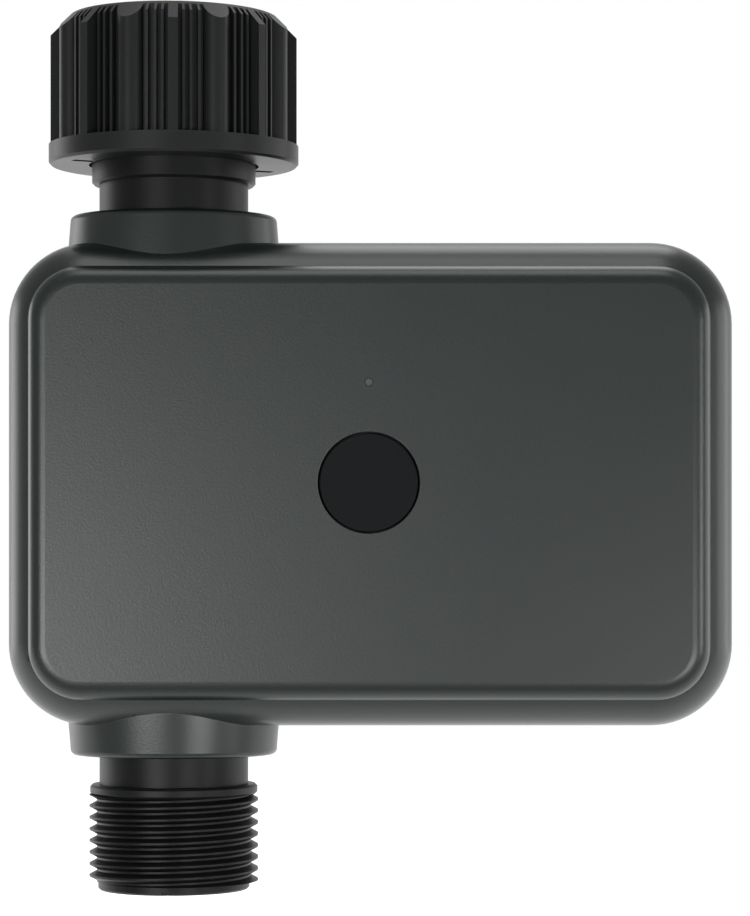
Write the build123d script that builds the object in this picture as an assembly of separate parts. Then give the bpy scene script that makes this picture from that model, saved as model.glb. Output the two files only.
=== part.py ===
from build123d import *
from math import acos, cos, pi, radians, sin, tan
import os

# A battery powered water valve that hangs from an outdoor tap. Millimetres, +Z up along the pipe,
# the front face to -Y. The parts are built about the centre of the valve ball and are moved at the
# end, so that the origin lies on the pipe axis at the mouth of the inlet nut.

# ---- housing
BODY_W = 111.6
BODY_H = 74.5
BODY_LEFT = 24.7
FRONT_D = 19.2
REAR_D = 21.6
CORNER_R = 12.6
EDGE_R = 8.5
REAR_EDGE_R = 3.0
PANEL_SIDE_IN = 3.9
PANEL_END_IN = 4.2
PANEL_R = 8.2
PANEL_RAISE = 2.2
PANEL_FILLET = 2.95
WALL = 2.2
OVERRUN = 5.0
SEAT_GAP = 0.1
FIT_GAP = 0.04

# ---- collars round the two necks
COLLAR_HALF_W = 16.5
COLLAR_HALF_D = 14.0
COLLAR_H = 4.95
COLLAR_DRAFT = 0.38
COLLAR_EDGE = 0.9
NECK_GAP = 0.1
NECK_BOSS_WALL = 3.6
NECK_BOSS_DEPTH = 2.8
NECK_SEAL_T = 1.5
NECK_SEAL_H = 2.0
NECK_SEAL_Z = 35.4
CRADLE_Z = 24.0
CRADLE_T = 1.6
CRADLE_REACH = 8.0

# ---- rim, gasket and screws of the housing
RIM_W = 1.9
RIM_D = 2.5
GASKET_LINE = 2.8
GASKET_W = 1.1
GASKET_D = 1.0
SCREW_R = 1.25
SCREW_HOLE_R = 1.4
SCREW_HEAD_R = 2.2
SCREW_HEAD_H = 1.7
SCREW_HEAD_GAP = 0.2
SCREW_PILOT_GAP = 0.05
SCREW_SOCKET_R = 0.9
SCREW_SOCKET_D = 0.9
SCREW_SEAT_Y = 17.4
SCREW_DEPTH = 7.6
SCREW_PILOT_D = 9.0
POST_R = 2.8
POST_PAD_R = 4.0
POST_PAD_Y = 15.5
POST_Z = 30.9
POST_LEFT_X = -16.0
POST_MID_X = 41.0

# ---- button and status light
BUTTON_R = 7.45
BUTTON_HOLE_R = 7.75
BUTTON_FLANGE_R = 9.0
BUTTON_FLANGE_T = 0.6
BUTTON_EDGE = 0.25
BUTTON_PLAY = 0.05
BUTTON_RING_R = 9.4
BUTTON_RING_WALL = 1.2
BUTTON_RING_H = 1.8
BUTTON_NUB_R = 1.5
BUTTON_NUB_L = 0.25
BUTTON_SEAL_OUT_R = 8.7
BUTTON_SEAL_T = 0.7
BUTTON_SEAL_GAP = 0.05
LED_UP = 15.2
LIGHT_R = 0.65
LIGHT_HOLE_GAP = 0.03
LIGHT_FLANGE_R = 1.6
LIGHT_FLANGE_T = 1.5
LIGHT_BOSS_WALL = 1.0
LIGHT_BOSS_H = 1.4

# ---- circuit board and what is on it
PCB_LEFT = 12.0
PCB_RIGHT = 49.3
PCB_HALF_H = 27.0
PCB_T = 1.6
PCB_BEHIND = 2.6
PCB_CORNER_R = 1.5
PCB_SCREW_IN = 3.2
PCB_SCREW_R = 1.0
PCB_SCREW_HEAD_R = 1.9
PCB_SCREW_HEAD_H = 1.3
PCB_SCREW_DEPTH = 2.2
PCB_BOSS_R = 2.3
SWITCH_W = 6.0
SWITCH_H = 1.0
PLUNGER_R = 1.6
PLUNGER_H = 0.65
PLUNGER_HOLE_D = 0.7
PLUNGER_GAP = 0.05
LED_W = 2.0
LED_H = 0.9
RADIO_W = 16.0
RADIO_H = 13.0
RADIO_T = 1.8
RADIO_X = 26.5
RADIO_Z = -18.5
CHIP_W = 7.0
CHIP_T = 0.9
CHIP_X = 41.5
CHIP_Z = -12.0
PLUG_W = 4.5
PLUG_H = 6.0
PLUG_D = 4.4
PLUG_X = 40.0
BATTERY_PLUG_Z = -18.0

# ---- batteries, their holder and the door
CELL_R = 7.25
CELL_L = 50.5
CELL_NUB_R = 2.7
CELL_NUB_L = 1.4
CELL_GAP = 0.2
CELL_EDGE = 0.5
HOLDER_X = 66.0
HOLDER_FLOOR = 14.3
HOLDER_WALL = 1.1
HOLDER_ROUND = 6.0
HOLDER_INNER_HALF = 26.9
CONTACT_W = 11.0
CONTACT_T = 0.4
CONTACT_ARM_W = 1.4
CONTACT_ARM_Z = 18.0
SPRING_R = 3.4
SPRING_WIRE_R = 0.3
SPRING_TURNS = 2.0
HOLDER_RIB_T = 1.6
HOLDER_RIB_HALF = 22.0
DOOR_HALF_W = 17.2
DOOR_HALF_H = 33.6
DOOR_R = 5.0
DOOR_T = 2.1
DOOR_GAP = 0.3
DOOR_EDGE = 0.4
OPENING_HALF_W = 14.9
OPENING_HALF_H = 26.0
OPENING_R = 2.0
LEDGE_T = 2.2
LEDGE_FRAME = 1.8
DOOR_SEAL_MARGIN = 0.4
DOOR_SEAL_W = 1.6
DOOR_SEAL_GROOVE = 0.6
DOOR_SEAL_GAP = 0.05
DOOR_SCREW_IN_X = 3.7
DOOR_SCREW_IN_Z = 2.8
DOOR_SCREW_HEAD_H = 1.3
DOOR_SCREW_SINK = 1.4
DOOR_SCREW_DEPTH = 11.0
DOOR_SCREW_GAP = 0.3
DOOR_BOSS_R = 2.7
DOOR_BOSS_Y = 9.5

# ---- leads
LEAD_R = 0.5
LEAD_BEND = 1.8
LEAD_HOLE_GAP = 0.1
LEAD_RUN_X = 46.0
LEAD_PITCH = 2.0
BATTERY_LEAD_Z = -19.5
MOTOR_LEAD_DROP_Y = -6.0
MOTOR_LEAD_FALL = 7.0

# ---- pipe line
NECK_R = 11.65
PIPE_BORE_R = 7.5
BALL_R = 10.5
BALL_BORE_R = 7.0
BALL_CHAMFER = 0.5
CHAMBER_R = 15.5
CHAMBER_HALF = 16.0
CHAMBER_BORE_R = 11.6
PIPE_FLANGE_T = 3.0
PIPE_PLUG_L = 4.4
PIPE_PLUG_GAP = 0.1
PIPE_SEAL_WIRE_R = 0.72
PIPE_SEAL_GAP = 0.02
PIPE_SEAL_IN = 2.1
SEAT_RING_L = 5.0
SEAT_GAP_BALL = 0.05
INLET_SHOWN = 4.9
INLET_RING_R = 12.8
INLET_RING_H = 3.5
SPIGOT_R = 9.9
SLEEVE_R = 8.5
SLEEVE_DEPTH = 12.0
SLEEVE_WALL = 1.0
SLEEVE_FLANGE_R = 11.7
SLEEVE_FLANGE_T = 1.4
FILTER_RIM_R = 11.5
FILTER_RIM_T = 0.5
FILTER_CUP_R = 7.1
FILTER_CUP_WALL = 0.8
FILTER_CUP_L = 9.0
FILTER_SLOT_W = 1.2
FILTER_SLOT_L = 6.0
FILTER_SLOTS = 12
FILTER_FLOOR_T = 0.8
WASHER_R = 11.7
WASHER_BORE_R = 8.0
WASHER_T = 2.5
OUTLET_SHOWN = 4.6
OUTLET_RING_R = 13.1
OUTLET_RING_H = 1.6
PILOT_R = 11.85
PILOT_L = 1.3
PILOT_EDGE = 0.3
GATE_W = 1.6
GATE_H = 0.5
PIPE_STOP_EDGE = 0.35

# ---- pipe thread, 3/4 inch parallel
THREAD_PITCH = 1.814
THREAD_MAJOR_R = 13.22
THREAD_MINOR_R = 12.06
THREAD_FLAT = 0.302
THREAD_SINK = 0.25
THREAD_L = 13.6

# ---- inlet nut
NUT_LIP_R = 10.2
NUT_LIP_GAP = 0.4
NUT_LIP_T = 2.6
NUT_LIP_CLEAR = 0.2
NUT_SKIRT = 0.8
NUT_SKIRT_R = 13.3
NUT_H = 23.2
NUT_FLANGE_R = 19.55
NUT_FLANGE_H = 3.1
NUT_FLANGE_EDGE = 0.4
NUT_BASE_R = 16.7
NUT_TOP_CHAMFER = 3.0
NUT_SIDES = 8
NUT_FIRST_RIB = 4.4
RIB_R = 19.25
RIB_W = 1.45
FINE_RIB_R = 17.8
FINE_RIB_W = 0.4
FINE_RIB_ANGLES = (5.2, 8.8, 13.0)
LOBE_REACH_R = 18.9
LOBE_R = 2.0
NUT_UNDERCUT_R = 13.4
NUT_UNDERCUT_H = 1.8
NUT_MOUTH_R = 13.35
NUT_MOUTH_L = 1.2
NUT_NOTCH_W = 1.8
NUT_NOTCH_H = 1.0
NUT_NOTCH_R = 16.8
NUT_NOTCH_ANGLES = (-63.1, 116.9)

# ---- valve stem
STEM_R = 4.0
STEM_GAP = 0.05
STEM_TONGUE_W = 3.9
STEM_TONGUE_HALF = 4.5
STEM_SLOT_GAP = 0.05
STEM_SLOT_D = 2.5
STEM_SLOT_END = 0.1
STEM_NECK_X = 10.8
STEM_SHOULDER_R = 5.5
STEM_SHOULDER_END = 12.6
STEM_RECESS_GAP = 0.3
STEM_WASHER_T = 0.6
STEM_FLAT_HALF = 3.0
STEM_FLAT_FROM = 20.6
STEM_DRIVE_OVER = 0.4
STEM_JOURNAL_R = 2.5
STEM_JOURNAL_IN = 0.4
STEM_SEAL_WIRE_R = 0.45
STEM_SEAL_XS = (14.6, 17.2)
STEM_SEAL_OUT = 0.02
BOSS_R = 8.0
MOUNT_X = 19.0
MOUNT_HALF_Y = 9.0
MOUNT_HALF_Z = 13.0
MOUNT_EDGE = 1.5
ACTUATOR_SCREW_Y = 6.0
ACTUATOR_SCREW_Z = 9.5
ACTUATOR_SCREW_R = 1.25
ACTUATOR_HEAD_R = 2.3
ACTUATOR_HEAD_H = 1.1
ACTUATOR_SCREW_DEPTH = 3.2

# ---- gear train, turning about axes along X
GEAR_MODULE = 0.6
GEAR_PRESSURE = 25.0
GEAR_ADDENDUM = 0.8
GEAR_DEDENDUM = 1.05
GEAR_BACKLASH = 0.09
OUTPUT_TEETH = 32
WHEEL_TEETH = 30
IDLER_TEETH = 12
MOTOR_TEETH = 10
IDLER_2_ANGLE = 54.8
IDLER_1_ANGLE = 131.2
PINION_ANGLE = -10.0
GEAR_CLEAR = 0.4
CASE_WALL = 1.2
CASE_PLATE = 2.0
GEAR_START = 0.8
LAYER_A = 4.0
LAYER_GAP = 1.0
WHEEL_T = 2.5
AXLE_R = 1.5
AXLE_GAP = 0.05
AXLE_SEAT = 1.0
COVER_T = 1.5
CASE_TOP_GAP = 1.2
CASE_BOSS_R = 2.1
CASE_BOSS_GAP = 0.3
CASE_SCREW_R = 1.0
CASE_SCREW_HEAD_R = 1.9
CASE_SCREW_HEAD_H = 1.3
CASE_SCREW_L = 9.0
CASE_PILOT_GAP = 0.05
MOTOR_R = 6.0
MOTOR_FLAT = 5.0
MOTOR_L = 11.0
MOTOR_SHAFT_R = 1.0
MOTOR_SHAFT_GAP = 0.15
MOTOR_BOSS_R = 2.0
MOTOR_BOSS_L = 0.8
MOTOR_CUP_WALL = 1.2
MOTOR_CUP_L = 4.5
MOTOR_TERMINAL_L = 2.4
MOTOR_TERMINAL_W = 5.0
MOTOR_TERMINAL_REACH = 6.9
SHAFT_PLAY = 0.3

# ---- places worked out from the sizes above
BODY_X = BODY_W / 2 - BODY_LEFT
BODY_RIGHT = BODY_W - BODY_LEFT
HALF_H = BODY_H / 2
SHOULDER_D = FRONT_D - PANEL_RAISE
PANEL_BACK = FRONT_D - WALL
REAR_INNER = REAR_D - WALL
RIM_IN = WALL + RIM_W
COLLAR_Z = HALF_H + COLLAR_H
PCB_FRONT = PANEL_BACK - PCB_BEHIND
PCB_REAR = PCB_FRONT - PCB_T
PCB_X = (PCB_LEFT + PCB_RIGHT) / 2
PCB_W = PCB_RIGHT - PCB_LEFT
FLANGE_Z = CHAMBER_HALF + PIPE_FLANGE_T
INLET_RING_Z = COLLAR_Z + INLET_SHOWN
SPIGOT_Z = INLET_RING_Z + INLET_RING_H
LIP_Z = SPIGOT_Z + NUT_LIP_GAP
LIP_TOP = LIP_Z + NUT_LIP_T
SLEEVE_Z = LIP_TOP + NUT_LIP_CLEAR
FILTER_Z = SLEEVE_Z + SLEEVE_FLANGE_T
WASHER_Z = FILTER_Z + FILTER_RIM_T
SEAL_Z = WASHER_Z + WASHER_T
NUT_Z = LIP_Z - NUT_SKIRT
NUT_TOP = NUT_Z + NUT_H
OUTLET_RING_Z = COLLAR_Z + OUTLET_SHOWN
THREAD_TOP = OUTLET_RING_Z + OUTLET_RING_H
THREAD_END = THREAD_TOP + THREAD_L
OUTLET_END = THREAD_END + PILOT_L
LEDGE_Y = REAR_D - DOOR_T - DOOR_GAP
LEDGE_IN = LEDGE_Y - LEDGE_T
CELL_X = CELL_R + CELL_GAP / 2
CELL_DEEP = HOLDER_FLOOR - HOLDER_WALL - CELL_R - CELL_GAP / 2
CELL_NEAR = 2 * CELL_X - CELL_DEEP
CELL_END = HOLDER_INNER_HALF - CONTACT_T
CELL_START = CELL_END - CELL_L
HOLDER_INNER_W = 2 * OPENING_HALF_W
HOLDER_HALF = HOLDER_INNER_HALF + HOLDER_WALL
LEAD_Y = PCB_REAR - PLUG_D / 2
STEM_WASHER_X = STEM_SHOULDER_END
RECESS_END = STEM_SHOULDER_END + STEM_WASHER_T
CASE_X = MOUNT_X + CASE_PLATE
LAYER_A_X = CASE_X + GEAR_START
LAYER_B_X = LAYER_A_X + LAYER_A + LAYER_GAP
LAYER_C_X = LAYER_B_X + WHEEL_T + LAYER_GAP
COVER_X = LAYER_C_X + WHEEL_T + CASE_TOP_GAP
COVER_END = COVER_X + COVER_T
STEM_DRIVE_END = LAYER_A_X + LAYER_A + STEM_DRIVE_OVER


def gear_tip(teeth):
    return GEAR_MODULE * (teeth / 2 + GEAR_ADDENDUM)


def gear_centre(start, teeth, other, angle):
    reach = GEAR_MODULE * (teeth + other) / 2
    return (start[0] + reach * cos(radians(angle)), start[1] + reach * sin(radians(angle)))


OUTPUT_AT = (0, 0)
IDLER_2_AT = gear_centre(OUTPUT_AT, OUTPUT_TEETH, IDLER_TEETH, IDLER_2_ANGLE)
IDLER_1_AT = gear_centre(IDLER_2_AT, WHEEL_TEETH, IDLER_TEETH, IDLER_1_ANGLE)
MOTOR_AT = gear_centre(IDLER_1_AT, WHEEL_TEETH, MOTOR_TEETH, PINION_ANGLE)
MOTOR_PLUG_Z = MOTOR_AT[1] - MOTOR_LEAD_FALL


# ---- simple solids
def rod_z(r, low, high, x=0, y=0):
    return Pos(x, y, (low + high) / 2) * Cylinder(r, high - low)


def ring_z(r_out, r_in, low, high, x=0, y=0):
    return rod_z(r_out, low, high, x, y) - rod_z(r_in, low - OVERRUN, high + OVERRUN, x, y)


def rod_x(r, low, high, y=0, z=0):
    return Pos((low + high) / 2, y, z) * Rot(0, 90, 0) * Cylinder(r, high - low)


def ring_x(r_out, r_in, low, high, y=0, z=0):
    return rod_x(r_out, low, high, y, z) - rod_x(r_in, low - OVERRUN, high + OVERRUN, y, z)


def rod_y(r, low, high, x=0, z=0):
    return Pos(x, (low + high) / 2, z) * Rot(90, 0, 0) * Cylinder(r, high - low)


def ring_y(r_out, r_in, low, high, x=0, z=0):
    return rod_y(r_out, low, high, x, z) - rod_y(r_in, low - OVERRUN, high + OVERRUN, x, z)


def block(x0, x1, y0, y1, z0, z1):
    middle = Pos((x0 + x1) / 2, (y0 + y1) / 2, (z0 + z1) / 2)
    return middle * Box(x1 - x0, y1 - y0, z1 - z0)


def slab(width, height, corner, x, y_low, y_high):
    face = Plane.XZ.offset(-y_high) * Pos(x, 0) * RectangleRounded(width, height, corner)
    return extrude(face, amount=y_high - y_low)


def edges_at_y(shape, y):
    return shape.edges().filter_by_position(Axis.Y, y, y)


def revolved(points):
    outline = [(r, z) for r, z in points]
    return revolve(Plane.XZ * make_face(Polyline(*outline, close=True)), Axis.Z)


def group(*solids):
    return Compound(children=[s for s in solids])


# ---- housing halves
def body_form(depth, edge, sign):
    low, high = (-depth, 0) if sign < 0 else (0, depth)
    form = slab(BODY_W, BODY_H, CORNER_R, BODY_X, low, high)
    return fillet(edges_at_y(form, sign * depth), edge)


def body_hollow(depth, edge, sign):
    low, high = (-depth, 0) if sign < 0 else (0, depth)
    form = slab(BODY_W - 2 * WALL, BODY_H - 2 * WALL, CORNER_R - WALL, BODY_X, low, high)
    return fillet(edges_at_y(form, sign * depth), edge)


def front_form():
    panel = slab(
        BODY_W - 2 * PANEL_SIDE_IN,
        BODY_H - 2 * PANEL_END_IN,
        PANEL_R,
        BODY_X,
        -FRONT_D,
        -(SHOULDER_D - EDGE_R),
    )
    panel = fillet(edges_at_y(panel, -FRONT_D), PANEL_FILLET)
    return body_form(SHOULDER_D, EDGE_R, -1) + panel


def front_hollow():
    pocket = slab(
        BODY_W - 2 * (PANEL_SIDE_IN + WALL),
        BODY_H - 2 * (PANEL_END_IN + WALL),
        PANEL_R - WALL,
        BODY_X,
        -PANEL_BACK,
        -(SHOULDER_D - EDGE_R),
    )
    return body_hollow(SHOULDER_D - WALL, EDGE_R - WALL, -1) + pocket


def collar(side):
    """The tapered oval collar round one neck, both halves in one."""
    low = HALF_H - WALL
    grow = COLLAR_DRAFT * WALL / COLLAR_H
    base = Plane.XY.offset(low) * Ellipse(COLLAR_HALF_W + grow, COLLAR_HALF_D + grow)
    top = Plane.XY.offset(COLLAR_Z) * Ellipse(
        COLLAR_HALF_W - COLLAR_DRAFT, COLLAR_HALF_D - COLLAR_DRAFT
    )
    form = loft([base, top], ruled=True)
    form = fillet(form.edges().filter_by_position(Axis.Z, COLLAR_Z, COLLAR_Z), COLLAR_EDGE)
    return form if side > 0 else Rot(180, 0, 0) * form


def half_space(sign):
    low, high = (-FRONT_D - OVERRUN, 0) if sign < 0 else (0, REAR_D + OVERRUN)
    reach = BODY_W + OVERRUN
    return block(-reach, reach, low, high, -reach, reach)


def ring_between(outer_in, inner_in, y_low, y_high):
    """A band that follows the housing outline, from one inset to a deeper one."""
    outer = slab(
        BODY_W - 2 * outer_in, BODY_H - 2 * outer_in, CORNER_R - outer_in, BODY_X, y_low, y_high
    )
    inner = slab(
        BODY_W - 2 * inner_in,
        BODY_H - 2 * inner_in,
        CORNER_R - inner_in,
        BODY_X,
        y_low - OVERRUN,
        y_high + OVERRUN,
    )
    return outer - inner


def neck_boss(side):
    r = NECK_R + NECK_GAP + NECK_BOSS_WALL
    low, high = HALF_H - WALL - NECK_BOSS_DEPTH, HALF_H - WALL / 2
    return rod_z(r, low, high) if side > 0 else rod_z(r, -high, -low)


def neck_cuts():
    low, high = NECK_SEAL_Z - NECK_SEAL_H / 2, NECK_SEAL_Z + NECK_SEAL_H / 2
    bore = rod_z(NECK_R + NECK_GAP, -COLLAR_Z - OVERRUN, COLLAR_Z + OVERRUN)
    seal_r = NECK_R + NECK_SEAL_T
    return bore + rod_z(seal_r, low, high) + rod_z(seal_r, -high, -low)


def cradles(sign, depth):
    low, high = (-depth, 0) if sign < 0 else (0, depth)
    ribs = Part()
    for z in (CRADLE_Z, -CRADLE_Z):
        ribs += block(
            -BODY_LEFT + WALL / 2, CRADLE_REACH, low, high, z - CRADLE_T / 2, z + CRADLE_T / 2
        )
    return ribs


def post_places():
    return [(x, z) for x in (POST_LEFT_X, POST_MID_X, HOLDER_X) for z in (POST_Z, -POST_Z)]


def pcb_screw_places():
    xs = (PCB_LEFT + PCB_SCREW_IN, PCB_RIGHT - PCB_SCREW_IN)
    z = PCB_HALF_H - PCB_SCREW_IN
    return [(x, s * z) for x in xs for s in (1, -1)]


def front_inside():
    """Posts, ribs and rings that stand on the inner face of the front half."""
    inside = cradles(-1, PANEL_BACK + WALL / 2) + neck_boss(1) + neck_boss(-1)
    for x, z in post_places():
        inside += rod_y(POST_R, -PANEL_BACK - WALL / 2, 0, x, z)
    for x, z in pcb_screw_places():
        inside += rod_y(PCB_BOSS_R, -PANEL_BACK - WALL / 2, -PCB_FRONT, x, z)
    ring = ring_y(
        BUTTON_RING_R + BUTTON_RING_WALL,
        BUTTON_RING_R,
        -PANEL_BACK - WALL / 2,
        -PANEL_BACK + BUTTON_RING_H,
        BODY_X,
    )
    inside += ring
    inside += rod_y(
        LIGHT_FLANGE_R + LIGHT_HOLE_GAP + LIGHT_BOSS_WALL,
        -PANEL_BACK - WALL / 2,
        -PANEL_BACK + LIGHT_BOSS_H,
        BODY_X,
        LED_UP,
    )
    for x in (HOLDER_X - CELL_X, HOLDER_X + CELL_X):
        inside += block(
            x - HOLDER_RIB_T / 2,
            x + HOLDER_RIB_T / 2,
            -PANEL_BACK - WALL / 2,
            -HOLDER_FLOOR,
            -HOLDER_RIB_HALF,
            HOLDER_RIB_HALF,
        )
    return inside


def front_shell():
    form = front_form()
    collars = (collar(1) + collar(-1)) & half_space(-1)
    shell = form - front_hollow()
    shell += ring_between(WALL / 2, RIM_IN, -RIM_D, 0)
    shell += front_inside() & (form + collars) & half_space(-1)
    shell += collars
    shell -= neck_cuts()
    shell -= rod_y(BUTTON_HOLE_R, -FRONT_D - OVERRUN, 0, BODY_X)
    shell -= rod_y(
        BUTTON_SEAL_OUT_R + BUTTON_SEAL_GAP,
        -PANEL_BACK - BUTTON_SEAL_T - BUTTON_SEAL_GAP,
        0,
        BODY_X,
    )
    shell -= rod_y(LIGHT_R + LIGHT_HOLE_GAP, -FRONT_D - OVERRUN, 0, BODY_X, LED_UP)
    shell -= rod_y(LIGHT_FLANGE_R + LIGHT_HOLE_GAP, -PANEL_BACK, 0, BODY_X, LED_UP)
    for x, z in post_places():
        shell -= rod_y(SCREW_R + SCREW_PILOT_GAP, -SCREW_PILOT_D, OVERRUN, x, z)
    for x, z in pcb_screw_places():
        deep = PCB_FRONT + PCB_SCREW_DEPTH + SCREW_PILOT_GAP
        shell -= rod_y(PCB_SCREW_R + SCREW_PILOT_GAP, -deep, 0, x, z)
    return shell


def door_screw_places():
    xs = (HOLDER_X - DOOR_HALF_W + DOOR_SCREW_IN_X, HOLDER_X + DOOR_HALF_W - DOOR_SCREW_IN_X)
    z = DOOR_HALF_H - DOOR_SCREW_IN_Z
    return [(x, s * z) for x in xs for s in (1, -1)]


def rear_inside():
    inside = cradles(1, REAR_INNER + WALL / 2) + neck_boss(1) + neck_boss(-1)
    for x, z in post_places():
        inside += rod_y(POST_R, 0, REAR_INNER, x, z)
    for x, z in post_places()[:4]:
        inside += rod_y(POST_PAD_R, POST_PAD_Y, REAR_INNER + WALL / 2, x, z)
    for x, z in door_screw_places():
        inside += rod_y(DOOR_BOSS_R, DOOR_BOSS_Y, REAR_INNER, x, z)
    edge = HOLDER_X - DOOR_HALF_W - DOOR_GAP - LEDGE_FRAME
    return inside + block(edge, BODY_RIGHT, LEDGE_IN, REAR_D, -HALF_H, HALF_H)


def rear_shell():
    form = body_form(REAR_D, REAR_EDGE_R, 1)
    collars = (collar(1) + collar(-1)) & half_space(1)
    shell = form - body_hollow(REAR_INNER, max(REAR_EDGE_R - WALL, WALL / 2), 1)
    shell += ring_between(WALL / 2, RIM_IN, 0, RIM_D)
    shell += rear_inside() & form & half_space(1)
    shell += collars
    shell -= neck_cuts()
    shell -= gasket_band(GASKET_D, 0)
    shell -= slab(
        2 * (DOOR_HALF_W + DOOR_GAP),
        2 * (DOOR_HALF_H + DOOR_GAP),
        DOOR_R + DOOR_GAP,
        HOLDER_X,
        LEDGE_Y,
        REAR_D + OVERRUN,
    )
    shell -= slab(
        2 * OPENING_HALF_W, 2 * OPENING_HALF_H, OPENING_R, HOLDER_X, LEDGE_IN - OVERRUN, REAR_D
    )
    for x, z in post_places():
        shell -= rod_y(SCREW_HOLE_R, -OVERRUN, REAR_D, x, z)
        shell -= rod_y(SCREW_HEAD_R + SCREW_HEAD_GAP, SCREW_SEAT_Y, REAR_D + OVERRUN, x, z)
    for x, z in door_screw_places():
        shell -= rod_y(SCREW_R + DOOR_SCREW_GAP, DOOR_SCREW_DEPTH - DOOR_SCREW_GAP, REAR_D, x, z)
    return shell


def gasket_band(depth, gap):
    half = GASKET_W / 2 - gap
    return ring_between(GASKET_LINE - half, GASKET_LINE + half, 0, depth)


def shell_gasket():
    seal_r = NECK_R + NECK_SEAL_T
    band = gasket_band(GASKET_D, FIT_GAP) - rod_z(seal_r, -BODY_H, BODY_H)
    return group(*band.solids())


def neck_seals():
    low, high = NECK_SEAL_Z - NECK_SEAL_H / 2, NECK_SEAL_Z + NECK_SEAL_H / 2
    inner, r = NECK_R + FIT_GAP, NECK_R + NECK_SEAL_T - FIT_GAP
    return group(ring_z(r, inner, low, high), ring_z(r, inner, -high, -low))


def screw(r, head_r, head_h, depth, socket_r, socket_d):
    """A screw that points to -Y, its head seated on the plane y = 0."""
    body = rod_y(r, -depth, 0) + rod_y(head_r, 0, head_h)
    socket = extrude(
        Plane.XZ.offset(-head_h) * RegularPolygon(socket_r, 6), amount=socket_d
    )
    return body - socket


def shell_screws():
    one = screw(
        SCREW_R, SCREW_HEAD_R, SCREW_HEAD_H, SCREW_SEAT_Y + SCREW_DEPTH, SCREW_SOCKET_R, SCREW_SOCKET_D
    )
    return group(*[Pos(x, SCREW_SEAT_Y, z) * one for x, z in post_places()])


# ---- button and status light
def button():
    back = -PANEL_BACK + BUTTON_PLAY
    cap = rod_y(BUTTON_R, -FRONT_D, back, BODY_X)
    cap = fillet(edges_at_y(cap, -FRONT_D), BUTTON_EDGE)
    cap += rod_y(BUTTON_FLANGE_R, back, back + BUTTON_FLANGE_T, BODY_X)
    nub = back + BUTTON_FLANGE_T
    return cap + rod_y(BUTTON_NUB_R, nub, nub + BUTTON_NUB_L, BODY_X)


def button_o_ring():
    return ring_y(
        BUTTON_SEAL_OUT_R,
        BUTTON_R + BUTTON_SEAL_GAP,
        -PANEL_BACK - BUTTON_SEAL_T,
        -PANEL_BACK,
        BODY_X,
    )


def light_pipe():
    pipe = rod_y(LIGHT_R, -FRONT_D, -PANEL_BACK, BODY_X, LED_UP)
    return pipe + rod_y(LIGHT_FLANGE_R, -PANEL_BACK, -PANEL_BACK + LIGHT_FLANGE_T, BODY_X, LED_UP)


# ---- circuit board
def main_pcb():
    board = slab(PCB_W, 2 * PCB_HALF_H, PCB_CORNER_R, PCB_X, -PCB_FRONT, -PCB_REAR)
    for x, z in pcb_screw_places():
        board -= rod_y(PCB_SCREW_R + SCREW_PILOT_GAP, -PANEL_BACK, 0, x, z)
    return board


def on_front(width, height, thick, x, z):
    return block(
        x - width / 2,
        x + width / 2,
        -PCB_FRONT - thick,
        -PCB_FRONT,
        z - height / 2,
        z + height / 2,
    )


def switch_body():
    body = on_front(SWITCH_W, SWITCH_W, SWITCH_H, BODY_X, 0)
    hole = rod_y(
        PLUNGER_R + PLUNGER_GAP, -PANEL_BACK, -PCB_FRONT - SWITCH_H + PLUNGER_HOLE_D, BODY_X
    )
    return body - hole


def switch_plunger():
    top = -PANEL_BACK + BUTTON_PLAY + BUTTON_FLANGE_T + BUTTON_NUB_L + BUTTON_PLAY
    return rod_y(PLUNGER_R, top, top + PLUNGER_H, BODY_X)


def status_led():
    return on_front(LED_W, LED_W, LED_H, BODY_X, LED_UP)


def radio_module():
    module = on_front(RADIO_W, RADIO_H, RADIO_T, RADIO_X, RADIO_Z)
    return chamfer(edges_at_y(module, -PCB_FRONT - RADIO_T), CELL_GAP)


def controller_chip():
    return on_front(CHIP_W, CHIP_W, CHIP_T, CHIP_X, CHIP_Z)


def connector(z):
    return block(
        PLUG_X - PLUG_W / 2,
        PLUG_X + PLUG_W / 2,
        -PCB_REAR,
        -PCB_REAR + PLUG_D,
        z - PLUG_H / 2,
        z + PLUG_H / 2,
    )


def connectors():
    return group(connector(BATTERY_PLUG_Z), connector(MOTOR_PLUG_Z))


def pcb_screws():
    one = screw(
        PCB_SCREW_R,
        PCB_SCREW_HEAD_R,
        PCB_SCREW_HEAD_H,
        PCB_T + PCB_SCREW_DEPTH,
        SCREW_SOCKET_R,
        SCREW_SOCKET_D,
    )
    return group(*[Pos(x, -PCB_REAR, z) * one for x, z in pcb_screw_places()])


# ---- batteries
def cell_places():
    """x, y and the way up of the four cells, in the order of the current."""
    left, right = HOLDER_X - CELL_X, HOLDER_X + CELL_X
    return [(left, -CELL_DEEP, 1), (right, -CELL_DEEP, -1), (right, CELL_NEAR, 1), (left, CELL_NEAR, -1)]


def cell():
    can = rod_z(CELL_R, CELL_START, CELL_END - CELL_NUB_L)
    can = fillet(can.edges(), CELL_EDGE)
    return can + rod_z(CELL_NUB_R, CELL_END - CELL_NUB_L, CELL_END)


def aa_cells():
    up = cell()
    down = Rot(180, 0, 0) * up
    return group(*[Pos(x, y, 0) * (up if way > 0 else down) for x, y, way in cell_places()])


def holder_slab(half_w, half_h, corner, low, high):
    form = block(HOLDER_X - half_w, HOLDER_X + half_w, low, high, -half_h, half_h)
    edges = form.edges().filter_by(Axis.Z).group_by(Axis.Y)[0]
    return fillet(edges, corner)


def battery_lead_ys():
    return (-CELL_DEEP + CONTACT_W / 2 - CONTACT_ARM_W / 2, CELL_NEAR - CONTACT_W / 2 + CONTACT_ARM_W / 2)


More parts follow.
